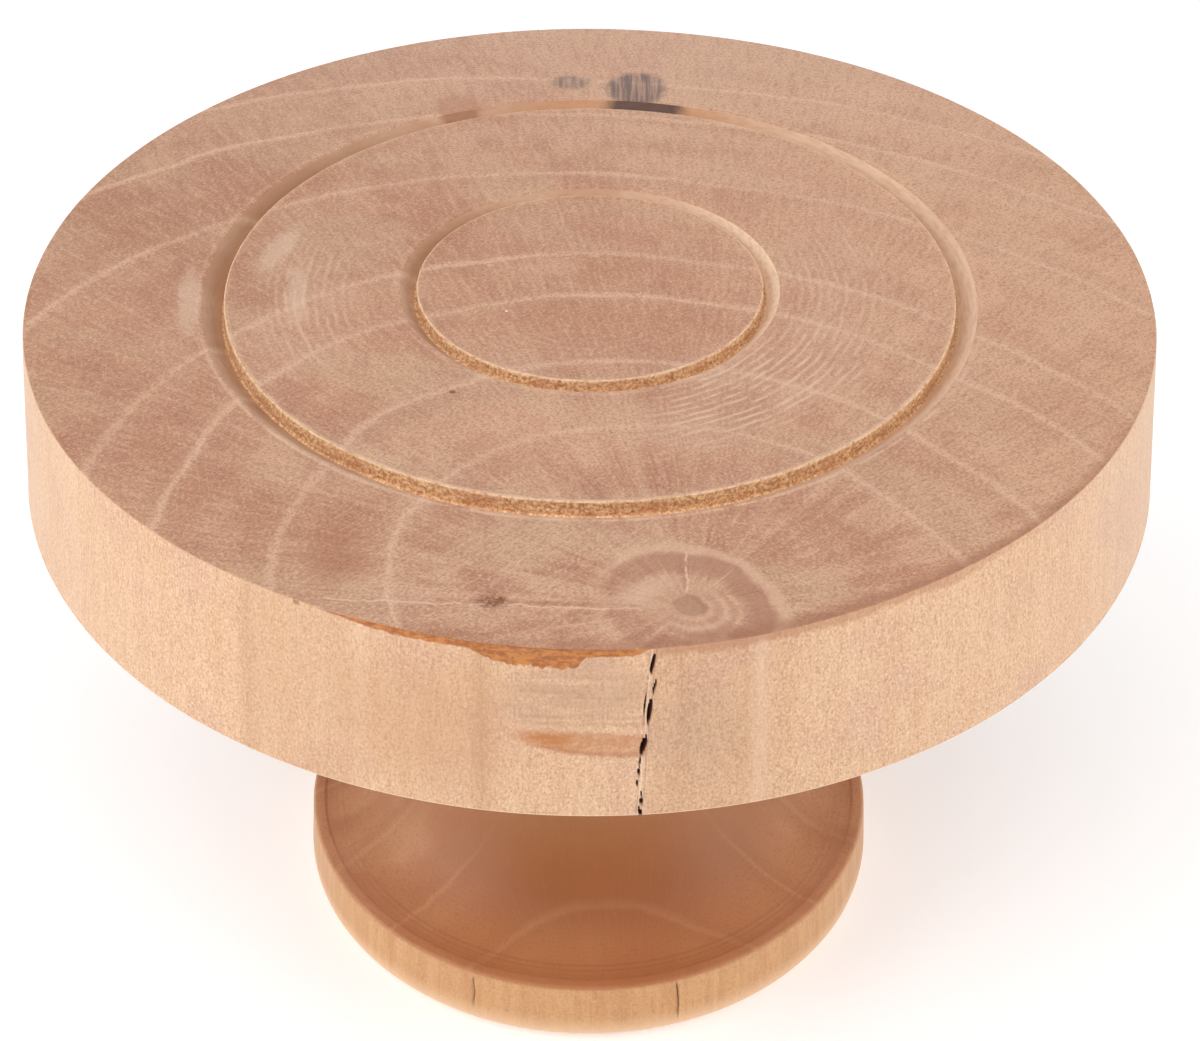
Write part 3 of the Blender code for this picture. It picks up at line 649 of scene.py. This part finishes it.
    # painted highlight: a pale line along the lower edge, where the floor lights the rounded corner
    corner = n.ramp(n.z, UNDERSIDE_Z + 0.42, UNDERSIDE_Z + 0.22)
    n.tint(corner, (246, 218, 190), 0.65)

    # painted shade darkens the crack's sunken walls, with hairlines beside them
    slant = CRACK_TOP_AZIMUTH - CRACK_BOTTOM_AZIMUTH
    thickness = FACE_Z - UNDERSIDE_Z
    off_crack = n.plus(n.plus(azimuth, -CRACK_TOP_AZIMUTH), n.times(below_face, slant / thickness))
    sideways = n.plus(n.times(off_crack, math.pi / 180 * DISC_RADIUS), n.times(ragged, 0.5))
    dashes = n.ramp(n.grain((0.2, 0.2, 0.7)), 0.42, 0.55)
    hairline = n.ramp(n.off(sideways, -0.45), 0.09, 0.02)
    second = n.ramp(n.off(sideways, 0.12), 0.1, 0.03)
    hairs = n.math("MAXIMUM", n.times(hairline, dashes), n.times(second, 0.8))
    n.tint(hairs, (120, 74, 52), 0.4)
    pale_lip = n.ramp(n.off(sideways, -0.25), 0.14, 0.05)
    n.tint(pale_lip, (246, 222, 200), 0.3)
    # painted shade: darker where the wall is sunk into the crack
    upper_radius = DISC_RADIUS + FRONT_BULGE
    wall = n.plus(n.times(below_face, (LOWER_RADIUS - upper_radius) / thickness), upper_radius)
    sunk = n.plus(wall, n.times(n.reach(), -1))
    at_crack = n.ramp(n.math("ABSOLUTE", off_crack), 2, 1.5)
    n.tint(n.times(n.ramp(sunk, 0.08, 0.4), at_crack), (84, 32, 20))

    height = n.total((fibres, 0.02), (speckle, 0.026), (bark, -0.05))
    roughness = n.ramp(speckle, 0.2, 0.8, 0.48, 0.66)
    return n.finish(n.colour, height, roughness)


def torn_grain():
    """The steep walls of the scribed circles: torn, stippled and browner, with the stains at the back."""
    n = Nodes("torn_groove_wall", roughness=0.75, specular=0.3)
    azimuth = n.azimuth()
    stipple = n.noise(n.place, 2.8, 3, 0.75)
    slow = n.noise(n.join(n.times(azimuth, 0.09), 0), 1, 2)
    n.colour = n.mix(n.ramp(stipple, 0.36, 0.64), srgb(194, 138, 92), srgb(250, 212, 166))
    n.shade(slow, 0.5, 0.62, 0.4, (204, 144, 104))
    n.shade(n.noise(n.place, 4.5, 1), 0.38, 0.22, 0.75, (112, 66, 40))
    # painted highlight: a pale line along the top of the wall, broken up by noise, where the groove's edge
    # catches the light
    lip = n.ramp(n.z, FACE_Z - 0.22, FACE_Z - 0.06)
    chipped = n.ramp(n.noise(n.place, 1.6, 3, 0.6), 0.4, 0.58, 0.15, 0.7)
    n.tint(n.times(lip, chipped), (244, 208, 174))
    reach = n.reach()
    burnt = n.times(n.blob(azimuth, reach, (81, 40.3), (6.5, 4), 0.5, ragged=0.6, grain=0.6), 0.9)
    n.tint(burnt, (70, 34, 24))
    return n.finish(n.colour, n.times(stipple, 0.1), n.ramp(stipple, 0.3, 0.7, 0.62, 0.85))


def groove_slope():
    """The smooth outer slopes of the scribed circles: the end grain, a little browner and cleaner cut."""
    n = Nodes("groove_slope", roughness=0.5, sheen=0.12)
    log = Log(n, DISC_PITH, DISC_RINGS, DISC_RING_TURN, DISC_RING_OVAL)
    azimuth = n.azimuth()
    reach = n.reach()
    along = n.noise(n.join(n.times(azimuth, 0.4), n.times(reach, 3)), 1, 2)
    n.colour = n.mix(n.ramp(log.patches, 0.15, 0.85), srgb(196, 150, 118), srgb(212, 172, 142))
    # painted light and shade: the slopes lighter towards +X, where they face the light from the left, and
    # darker towards -X, with a painted highlight on the inner slope at the right
    n.shade(n.x, 0, 40, 0.8, (234, 198, 168))
    n.shade(n.x, -10, -36, 0.4, (176, 130, 98))
    inner_right_highlight = n.times(n.ramp(reach, 26, 23), n.ramp(n.x, 8, 19))
    n.tint(inner_right_highlight, (250, 218, 188), 0.8)
    n.tint(log.ring_lines, (230, 194, 164), 0.5)
    n.shade(along, 0.4, 0.7, 0.3, (186, 132, 96))
    amber = n.blob(azimuth, reach, (84, 40), (17, 4), 0.9, ragged=0.8, grain=0.5)
    n.tint(amber, (190, 124, 62), 0.55)
    burnt = n.blob(azimuth, reach, (81, 40), (6.5, 4), 0.5, ragged=0.5, grain=0.6)
    n.tint(burnt, (74, 38, 28), 0.92)
    brown = n.blob(azimuth, reach, (112.5, 40), (3.4, 4), 0.6, ragged=0.6, grain=0.6)
    n.tint(brown, (150, 86, 48), 0.7)
    return n.finish(n.colour, n.times(along, 0.012), n.ramp(along, 0.3, 0.7, 0.42, 0.58))


def foot_wood():
    """The pedestal: warmer end grain where it faces up, pale side grain on its rim and neck."""
    n = Nodes("pedestal_wood", roughness=0.5, sheen=0.15)
    log = Log(n, FOOT_PITH, FOOT_RINGS, line=0.5)
    reach = n.reach()
    marks = tool_marks(n, reach, 0.55)
    upright = n.add("ShaderNodeSeparateXYZ", {"Vector": n.normal}).outputs[2]
    end_share = n.ramp(n.math("ABSOLUTE", upright), 0.15, 0.75)
    fibres = n.grain((3, 3, 0.2), 3, 0.65)
    threads = n.grain((0.9, 0.9, 0.03), 3, 0.55)
    speckle = n.noise(n.place, 3, 2, 0.7)
    blush = n.grain((0.06, 0.06, 0.06), 3)

    n.colour = n.mix(n.ramp(log.patches, 0.15, 0.85), srgb(198, 142, 102), srgb(216, 164, 122))
    heartwood = n.ramp(n.plus(log.radius, n.times(n.x, -0.12)), 48, 27)
    n.tint(heartwood, (184, 120, 73), 0.85)
    # partly heartwood, partly painted shade: darker still near the neck, under the disc
    n.tint(n.times(heartwood, n.ramp(reach, 30, 22)), (152, 84, 38), 0.85)
    n.tint(n.ramp(blush, 0.42, 0.62), (180, 110, 70), 0.35)
    n.shade(n.x, 6, 26, 0.4, (224, 170, 126))
    n.tint(log.ring_lines, (220, 168, 126), 0.32)
    ring_edge = n.times(n.math("SUBTRACT", log.ring_halos, log.ring_lines, clamp=True), 0.22)
    n.tint(ring_edge, (160, 100, 64))
    n.shade(log.rays, 0.48, 0.66, 0.1, (206, 152, 110))
    n.shade(speckle, 0.5, 0.32, 0.3, (148, 90, 56))
    end = n.colour

    n.colour = n.mix(n.ramp(threads, 0.3, 0.7), srgb(205, 150, 99), srgb(216, 165, 114))
    n.shade(fibres, 0.46, 0.32, 0.3, (178, 122, 76))
    n.shade(speckle, 0.52, 0.7, 0.4, (226, 184, 138))
    n.shade(speckle, 0.48, 0.32, 0.36, (174, 120, 76))
    n.tint(log.ring_lines, (190, 130, 86), 0.3)

    n.colour = n.mix(end_share, n.colour, end)
    # painted shade, partly heartwood: darker orange near the neck, where the disc shades the foot
    n.shade(reach, 27, 20, 0.7, (163, 97, 44))
    # painted light: the rim paler towards the bottom, where the floor lights it
    low = n.ramp(n.z, 4.6, 1.2, 0, 0.75)
    n.tint(low, (248, 212, 174))
    scribe = n.lines(reach, 40, (30.5, 31.2), 0.3)
    facing_up = n.ramp(upright, 0.2, 0.6)
    front = n.ramp(n.y, -8, -28, 0.35, 1)
    n.tint(n.times(n.times(scribe, facing_up), n.times(front, 0.3)), (146, 86, 54))
    beside = n.times(n.ramp(n.off(reach, 32.2), 0.9, 0.3), facing_up)
    n.tint(n.times(beside, front), (168, 100, 56), 0.32)
    below_top = n.between(n.z, (8.4, 7.6), (3, 4.2))
    azimuth = n.azimuth()
    for centre, *_ in FOOT_CHECKS:
        bent = n.plus(azimuth, n.times(n.noise(n.join(n.times(n.z, 0.5), centre), 1, 2), 1.2))
        hair = n.ramp(n.math("ABSOLUTE", n.plus(bent, -centre - 0.6)), 0.55, 0.12)
        n.tint(n.times(hair, below_top), (140, 92, 58), 0.45)
    height = n.total((marks, 0.006), (speckle, 0.014), (fibres, 0.01))
    return n.finish(n.colour, height, n.ramp(speckle, 0.2, 0.8, 0.42, 0.6))


def pad_rubber():
    """Dark pebbled rubber with a little dust on it."""
    n = Nodes("pad_rubber_pebbled", roughness=0.85, specular=0.3)
    pebbles = n.add("ShaderNodeTexVoronoi", {"Vector": n.place, "Scale": 1.6}).outputs["Distance"]
    dust = n.noise(n.place, 0.25, 4, 0.6)
    colour = n.mix(n.ramp(dust, 0.4, 0.7), (0.03, 0.03, 0.032), (0.06, 0.058, 0.056))
    colour = n.mix(n.ramp(pebbles, 0.35, 0.6, 0, 0.4), colour, (0.018, 0.018, 0.019))
    return n.finish(colour, n.times(pebbles, -0.1), n.ramp(dust, 0.3, 0.7, 0.75, 0.92))


def machined_metal(name, dark, light, roughness):
    """Turned steel or plate: fine rings about the axis, faint stains and a little wear."""
    n = Nodes(name, roughness=roughness, metallic=1)
    marks = tool_marks(n, n.reach(), 0.22)
    cloud = n.noise(n.place, 0.35, 4, 0.6)
    grain = n.grain((0.6, 0.6, 9))
    colour = n.mix(n.ramp(cloud, 0.3, 0.7), dark, light)
    height = n.plus(n.times(marks, 0.003), n.times(grain, 0.004))
    return n.finish(colour, height, n.ramp(cloud, 0.3, 0.7, roughness - 0.07, roughness + 0.09))


def nylon():
    """The bearing cages' pale moulded nylon."""
    n = Nodes("cage_nylon_moulded", roughness=0.5)
    cloud = n.noise(n.place, 0.5, 3)
    colour = n.mix(n.ramp(cloud, 0.3, 0.7), (0.62, 0.58, 0.47), (0.72, 0.68, 0.58))
    return n.finish(colour, n.times(n.noise(n.place, 5, 2), 0.008), n.ramp(cloud, 0.3, 0.7, 0.42, 0.55))


# ---- the disc


# The crack in the disc's wall, as slits: height of the upper and lower end in millimetres above the
# disc's underside, sideways offset of each end from the crack's line, and half width at the middle
CRACK_SLITS = (
    (19, 16.7, 0.06, -0.2, 0.14),
    (16.1, 14.4, 0.42, 0.12, 0.07),
    (13.9, 11.2, 0.1, -0.04, 0.19),
    (14.6, 12, -0.42, -0.5, 0.045),
    (9.5, 7.5, -0.06, -0.42, 0.25),
    (7, 6.3, -0.42, -0.48, 0.06),
    (5.8, 5, -0.46, -0.52, 0.12),
    (4.5, 4, -0.52, -0.54, 0.1),
    (3.1, 2.6, -0.04, -0.06, 0.06),
    (2.1, 1.5, 0.02, -0.02, 0.16),
    (1, 0.1, -0.16, 0.1, 0.17),
)
CRACK_DEPTH = 1.6


def crack_depth(above, azimuth_degrees, radius):
    """How far the wall is sunk at a height above the underside and an azimuth."""
    thickness = FACE_Z - UNDERSIDE_Z
    line = CRACK_BOTTOM_AZIMUTH + (CRACK_TOP_AZIMUTH - CRACK_BOTTOM_AZIMUTH) * above / thickness
    sideways = np.radians(azimuth_degrees - line) * radius
    sunk = np.zeros_like(sideways)
    for top, bottom, top_offset, bottom_offset, half_width in CRACK_SLITS:
        share = (above - bottom) / (top - bottom)
        middle = bottom_offset + (top_offset - bottom_offset) * share
        bulge = np.sqrt(np.clip(1 - (2 * share - 1) ** 2, 0, 1))
        gap = np.abs(sideways - middle) / (half_width * bulge + 1e-6)
        inside = (share > 0) & (share < 1)
        sunk = np.maximum(sunk, np.where(inside, CRACK_DEPTH * np.clip(1.25 - gap, 0, 1), 0))
    return sunk


def disc_profile():
    top, wall, torn, slope = 0, 1, 2, 3
    burr = 0.05
    outline = Outline(0, FACE_Z)
    line, curve = outline.line, outline.curve
    for inner, outer, depth in SCRIBED_CIRCLES:
        line(inner - 0.35, FACE_Z, 1.6, top)
        line(inner - 0.12, FACE_Z + burr, 0.12, top)
        curve((inner - 0.06, FACE_Z - 0.06), (0.1, 0.1), 80, 5, 3, torn)
        line(inner + 0.1, FACE_Z - depth + 0.15, 0.14, torn)
        curve((inner + 0.3, FACE_Z - depth + 0.12), (0.18, 0.12), 185, 300, 4, torn)
        line(outer - 0.25, FACE_Z - 0.13, 0.25, slope)
        curve((outer, FACE_Z - 0.4), (0.4, 0.4), 125, 90, 4, top)
    line(DISC_RADIUS - 8, FACE_Z, 1.6, top)
    line(DISC_RADIUS - 0.24, FACE_Z, 0.6, top)
    curve((DISC_RADIUS - 0.22, FACE_Z - 0.2), (0.2, 0.2), 85, 45, 2, top)
    curve((DISC_RADIUS - 0.22, FACE_Z - 0.2), (0.2, 0.2), 45, 8, 2, wall)
    line(DISC_RADIUS + 0.23, FACE_Z - 2.5, 0.2, wall)
    line(LOWER_RADIUS - 0.02, UNDERSIDE_Z + 0.5, 0.45, wall)
    curve((LOWER_RADIUS - 0.45, UNDERSIDE_Z + 0.45), (0.45, 0.45), 0, -90, 5, wall)
    recess = NUT_HIGH.x + 0.4
    flange_thickness, barrel_room = 2.5, 5.8
    recess_top = NUT_LOW.z + flange_thickness + 0.3
    barrel_top = NUT_HIGH.z + 1.5
    line(recess + 0.3, UNDERSIDE_Z, 3, top)
    curve((recess + 0.3, UNDERSIDE_Z + 0.3), (0.3, 0.3), -90, -180, 3, top)
    line(recess, recess_top, 0.8, top)
    line(barrel_room, recess_top, 3, top)
    line(barrel_room, barrel_top, 3, top)
    line(0, barrel_top, 3, top)
    return outline


def disc_shape(radius, height, azimuth):
    """Torn groove walls, the crack, the chipped bark edge, the sunken pith and a slightly uneven rim."""
    degrees = np.degrees(azimuth)
    x, y = radius * np.cos(azimuth), radius * np.sin(azimuth)
    points = np.stack([x, y, height], axis=-1)
    coarse = value_noise(points * 1.4, 1)
    fine = value_noise(points * (3.1, 3.1, 4), 2)
    slow = value_noise(points * (0.12, 0.12, 0.12), 3)
    new_radius, new_height = radius.copy(), height.copy()
    for inner, outer, depth in SCRIBED_CIRCLES:
        on_wall = (radius > inner - 0.05) & (radius < inner + 0.25) & (height < FACE_Z - 0.1)
        on_wall &= height > FACE_Z - depth - 0.05
        torn = 0.07 * coarse + 0.08 * fine
        new_radius += np.where(on_wall, torn, 0)
        lip = (np.abs(radius - inner + 0.08) < 0.16) & (height > FACE_Z - 0.1)
        new_height += np.where(lip, 0.025 * fine, 0)
        new_radius += np.where(lip, 0.03 * coarse, 0)
    above = height - UNDERSIDE_Z
    on_rim = (radius > DISC_RADIUS - 0.3) & (above >= 0)
    new_radius -= np.where(on_rim, crack_depth(above, degrees, radius), 0)
    new_radius += np.where(on_rim, 0.03 * slow, 0)
    upwards = np.clip(above / (FACE_Z - UNDERSIDE_Z), 0, 1)
    bulge = FRONT_BULGE * smoothstep(36, 0, np.abs(degrees - FRONT_BULGE_AZIMUTH))
    new_radius += bulge * smoothstep(DISC_RADIUS - 3, DISC_RADIUS, radius) * upwards
    seam = smoothstep(-114, -106, degrees) * smoothstep(-84.5, -87, degrees)
    reach_down = 0.4 + 1.3 * smoothstep(-100.5, -96.5, degrees) * smoothstep(-89.8, -91, degrees)
    chip_edge = smoothstep(reach_down + 0.1, reach_down - 0.15, FACE_Z - height + 0.25 * coarse)
    new_radius -= np.where(on_rim & (height < FACE_Z - 0.05), 0.16 * seam * chip_edge * (1 + 0.5 * fine), 0)
    on_face = (height > FACE_Z - 0.02) & (radius < DISC_RADIUS)
    from_pith = np.hypot(x - DISC_PITH[0], y - DISC_PITH[1])
    new_height -= np.where(on_face, 0.12 * smoothstep(1.1, 0.5, from_pith), 0)
    from_knot = np.hypot((x - KNOT[0]) / 1.5, y - KNOT[1])
    new_height -= np.where(on_face, 0.1 * smoothstep(1, 0.4, from_knot), 0)
    return new_radius, new_height


def turn_disc():
    angles = column_angles(400, [((CRACK_TOP_AZIMUTH + CRACK_BOTTOM_AZIMUTH) / 2, 1.5, 0.06)])
    materials = [end_grain(), side_grain(), torn_grain(), groove_slope()]
    disc = lathe("wooden_disc", disc_profile(), angles, materials, disc_shape)
    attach(disc, "turntable")
    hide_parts("turntable_disc")


# ---- the pedestal and its pad


def pedestal_profile():
    neck = 15.3
    top_radius = neck + 2.2
    waist_z, rim_top = 35, 8.9
    rim_radius = FOOT_RADIUS - 0.4
    fillet_radius = rim_radius - 1.6
    fillet_z = rim_top - 0.18
    bore, waist_bore = 11.2, 8.5
    pad_recess = PAD_HIGH.x + 0.3
    recess_top = PAD_HIGH.z + 0.3
    lower_shoulder, upper_shoulder = 22.4, 53.1
    outline = Outline(bore + 0.4, PEDESTAL_TOP)
    line, curve = outline.line, outline.curve
    line(top_radius - 0.5, PEDESTAL_TOP, 0.8)
    curve((top_radius - 0.5, PEDESTAL_TOP - 0.5), (0.5, 0.5), 90, 0, 4)
    curve((top_radius, waist_z), (neck - top_radius, PEDESTAL_TOP - 0.5 - waist_z), 90, 0, 26)
    flare_radius = fillet_radius - 0.8
    curve((flare_radius, waist_z), (neck - flare_radius, fillet_z - waist_z), 0, 90, 46)
    line(fillet_radius - 0.35, fillet_z - 0.01, 0.2)
    line(fillet_radius - 0.15, fillet_z - 0.03, 0.08)
    line(fillet_radius + 0.05, fillet_z + 0.04, 0.08)
    curve((fillet_radius + 0.35, rim_top - 0.14), (0.28, 0.14), 170, 90, 4)
    curve((rim_radius - 0.55, rim_top - 0.6), (0.55, 0.6), 90, 10, 6)
    line(FOOT_RADIUS - 0.05, PAD_PROUD + 2.4, 0.4)
    curve((FOOT_RADIUS - 1.75, PAD_PROUD + 1.6), (1.75, 1.6), 0, -90, 10)
    line(pad_recess, PAD_PROUD, 0.5)
    line(pad_recess, recess_top, 0.5)
    line(bore, recess_top, 1.5)
    line(bore, lower_shoulder, 2)
    line(waist_bore, lower_shoulder, 1.5)
    line(waist_bore, upper_shoulder, 3)
    line(bore, upper_shoulder, 1.5)
    line(bore, PEDESTAL_TOP - 0.4, 2)
    return outline


def pedestal_shape(radius, height, azimuth):
    degrees = np.degrees(azimuth)
    x, y = radius * np.cos(azimuth), radius * np.sin(azimuth)
    points = np.stack([x, y, height], axis=-1)
    slow = value_noise(points * 0.15, 5)
    new_radius = radius + np.where(radius > 32, 0.04 * slow, 0)
    on_rim = (radius > FOOT_RADIUS - 3) & (height > PAD_PROUD + 0.1)
    for centre, top, bottom, half_width in FOOT_CHECKS:
        share = (height - bottom) / (top - bottom)
        middle = centre + 0.25 * np.sin(share * 4)
        sideways = np.abs(np.radians(degrees - middle) * radius)
        bulge = np.sqrt(np.clip(1 - (2 * share - 1) ** 2, 0, 1))
        gap = sideways / (half_width * bulge + 1e-6)
        sunk = 0.4 * np.clip(1.6 - gap, 0, 1)
        new_radius -= np.where(on_rim & (share > 0) & (share < 1), sunk, 0)
    return new_radius, height


def turn_pedestal():
    angles = column_angles(300, [(centre, 1.4, 0.1) for centre, *_ in FOOT_CHECKS])
    outline = pedestal_profile()
    pedestal = lathe("wooden_pedestal", outline, angles, [foot_wood()], pedestal_shape, closed=True)
    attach(pedestal, "base")
    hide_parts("pedestal")


def turn_pad():
    edge = 0.4
    outline = Outline(0, PAD_HIGH.z)
    line, curve = outline.line, outline.curve
    line(PAD_HIGH.x - edge, PAD_HIGH.z, 2)
    curve((PAD_HIGH.x - edge, PAD_HIGH.z - edge), (edge, edge), 90, 0, 4)
    line(PAD_HIGH.x, edge, 0.4)
    curve((PAD_HIGH.x - edge, edge), (edge, edge), 0, -90, 4)
    for ridge in range(9):
        middle = PAD_HIGH.x - 2.2 - ridge * 3
        line(middle + 0.45, 0, 0.9)
        line(middle + 0.25, 0.25, 0.3)
        line(middle - 0.25, 0.25, 0.5)
        line(middle - 0.45, 0, 0.3)
    line(0, 0, 1.5)
    pad = lathe("rubber_pad", outline, column_angles(180), [pad_rubber()])
    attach(pad, "base")
    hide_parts("non_slip_pad")


# ---- the inner metal pieces


def finish_inner_pieces():
    """Gives every CAD node that stays in use the procedural material of its slot."""
    finishes = {}
    for slot, name, dark, light, roughness in (
        ("bearing_steel", "ground_bearing_steel", (0.42, 0.43, 0.45), (0.58, 0.59, 0.61), 0.22),
        ("zinc_plate", "bright_zinc_plate", (0.48, 0.5, 0.52), (0.68, 0.68, 0.66), 0.34),
        ("black_steel", "black_oxide_steel", (0.03, 0.03, 0.034), (0.075, 0.072, 0.07), 0.42),
    ):
        finishes[slot] = machined_metal(name, dark, light, roughness)
    finishes["cage_nylon"] = nylon()
    slots = {entry["node"]: entry["material_slot"] for entry in frame["record"]["subparts"]}
    for name, obj in frame["nodes"].items():
        if slots[name] in finishes:
            for place in obj.material_slots:
                place.material = finishes[slots[name]]


# ---- stage, lights and camera


def stage():
    mesh = bpy.data.meshes.new("floor")
    half = 6
    z = -0.02 * MM
    corners = [(-half, -half, z), (half, -half, z), (half, half, z), (-half, half, z)]
    mesh.from_pydata(corners, [], [(0, 1, 2, 3)])
    n = Nodes("pale_floor", roughness=0.9, specular=0.1)
    n.shader.inputs["Emission Color"].default_value = (1, 1, 1, 1)
    n.put(n.ramp(n.reach(), 300, 1300, 0.4, 0.95), n.shader.inputs["Emission Strength"])
    mottle = n.noise(n.place, 0.01)
    n.finish(n.mix(mottle, (0.78, 0.78, 0.78), (0.8, 0.8, 0.8)))
    mesh.materials.append(n.material)
    new_object("floor", mesh)

    world = bpy.data.worlds.new("studio")
    bpy.context.scene.world = world
    world.use_nodes = True
    # a white horizon under a dimmer sky
    tree = world.node_tree
    direction = tree.nodes.new("ShaderNodeTexCoord").outputs["Generated"]
    split = tree.nodes.new("ShaderNodeSeparateXYZ")
    tree.links.new(direction, split.inputs[0])
    sky = tree.nodes.new("ShaderNodeMapRange")
    sky.interpolation_type = "SMOOTHSTEP"
    for key, value in (("From Min", 0.14), ("From Max", 0.3), ("To Min", 1), ("To Max", 0.12)):
        sky.inputs[key].default_value = value
    tree.links.new(split.outputs["Z"], sky.inputs["Value"])
    tree.links.new(sky.outputs["Result"], tree.nodes["Background"].inputs["Strength"])
    tree.nodes["Background"].inputs["Color"].default_value = (1, 1, 1, 1)


def softbox(name, azimuth, elevation, distance, size, power):
    """A square lamp that faces the disc from an azimuth and elevation in degrees."""
    lamp = bpy.data.lights.new(name, "AREA")
    lamp.shape = "SQUARE"
    lamp.size = size
    lamp.energy = power
    obj = new_object(name, lamp)
    a, e = math.radians(azimuth), math.radians(elevation)
    target = Vector((0, 0, 0.06))
    towards = Vector((math.cos(a) * math.cos(e), math.sin(a) * math.cos(e), math.sin(e)))
    obj.location = target + towards * distance
    obj.rotation_euler = towards.to_track_quat("Z", "Y").to_euler()


def lights():
    softbox("overhead_softbox", -95, 68, 1, 0.9, 6)
    softbox("left_softbox", 196, 30, 0.9, 0.6, 3.8)
    softbox("right_softbox", -14, 22, 0.9, 0.6, 2.9)
    softbox("back_softbox", 90, 10, 0.9, 0.5, 1.3)


def camera():
    """Looks along +Y and down at the stand, with a small roll."""
    lens = bpy.data.cameras.new("camera")
    lens.sensor_width = 36
    lens.lens = 78.06
    lens.clip_start = 0.01
    obj = new_object("camera", lens)
    aside, below_face, distance = 1.2 * MM, 31.98 * MM, 298.6 * MM
    elevation = math.radians(37.39)
    target = Vector((aside, 0, FACE_Z * MM - below_face))
    back = Vector((0, -math.cos(elevation), math.sin(elevation)))
    turn = back.to_track_quat("Z", "Y").to_matrix().to_4x4()
    roll = Matrix.Rotation(math.radians(0.331), 4, "Z")
    obj.matrix_world = Matrix.Translation(target + back * distance) @ turn @ roll
    bpy.context.scene.camera = obj


camera()
turn_disc()
turn_pedestal()
turn_pad()
finish_inner_pieces()
stage()
lights()
bpy.context.scene.view_settings.view_transform = "Standard"
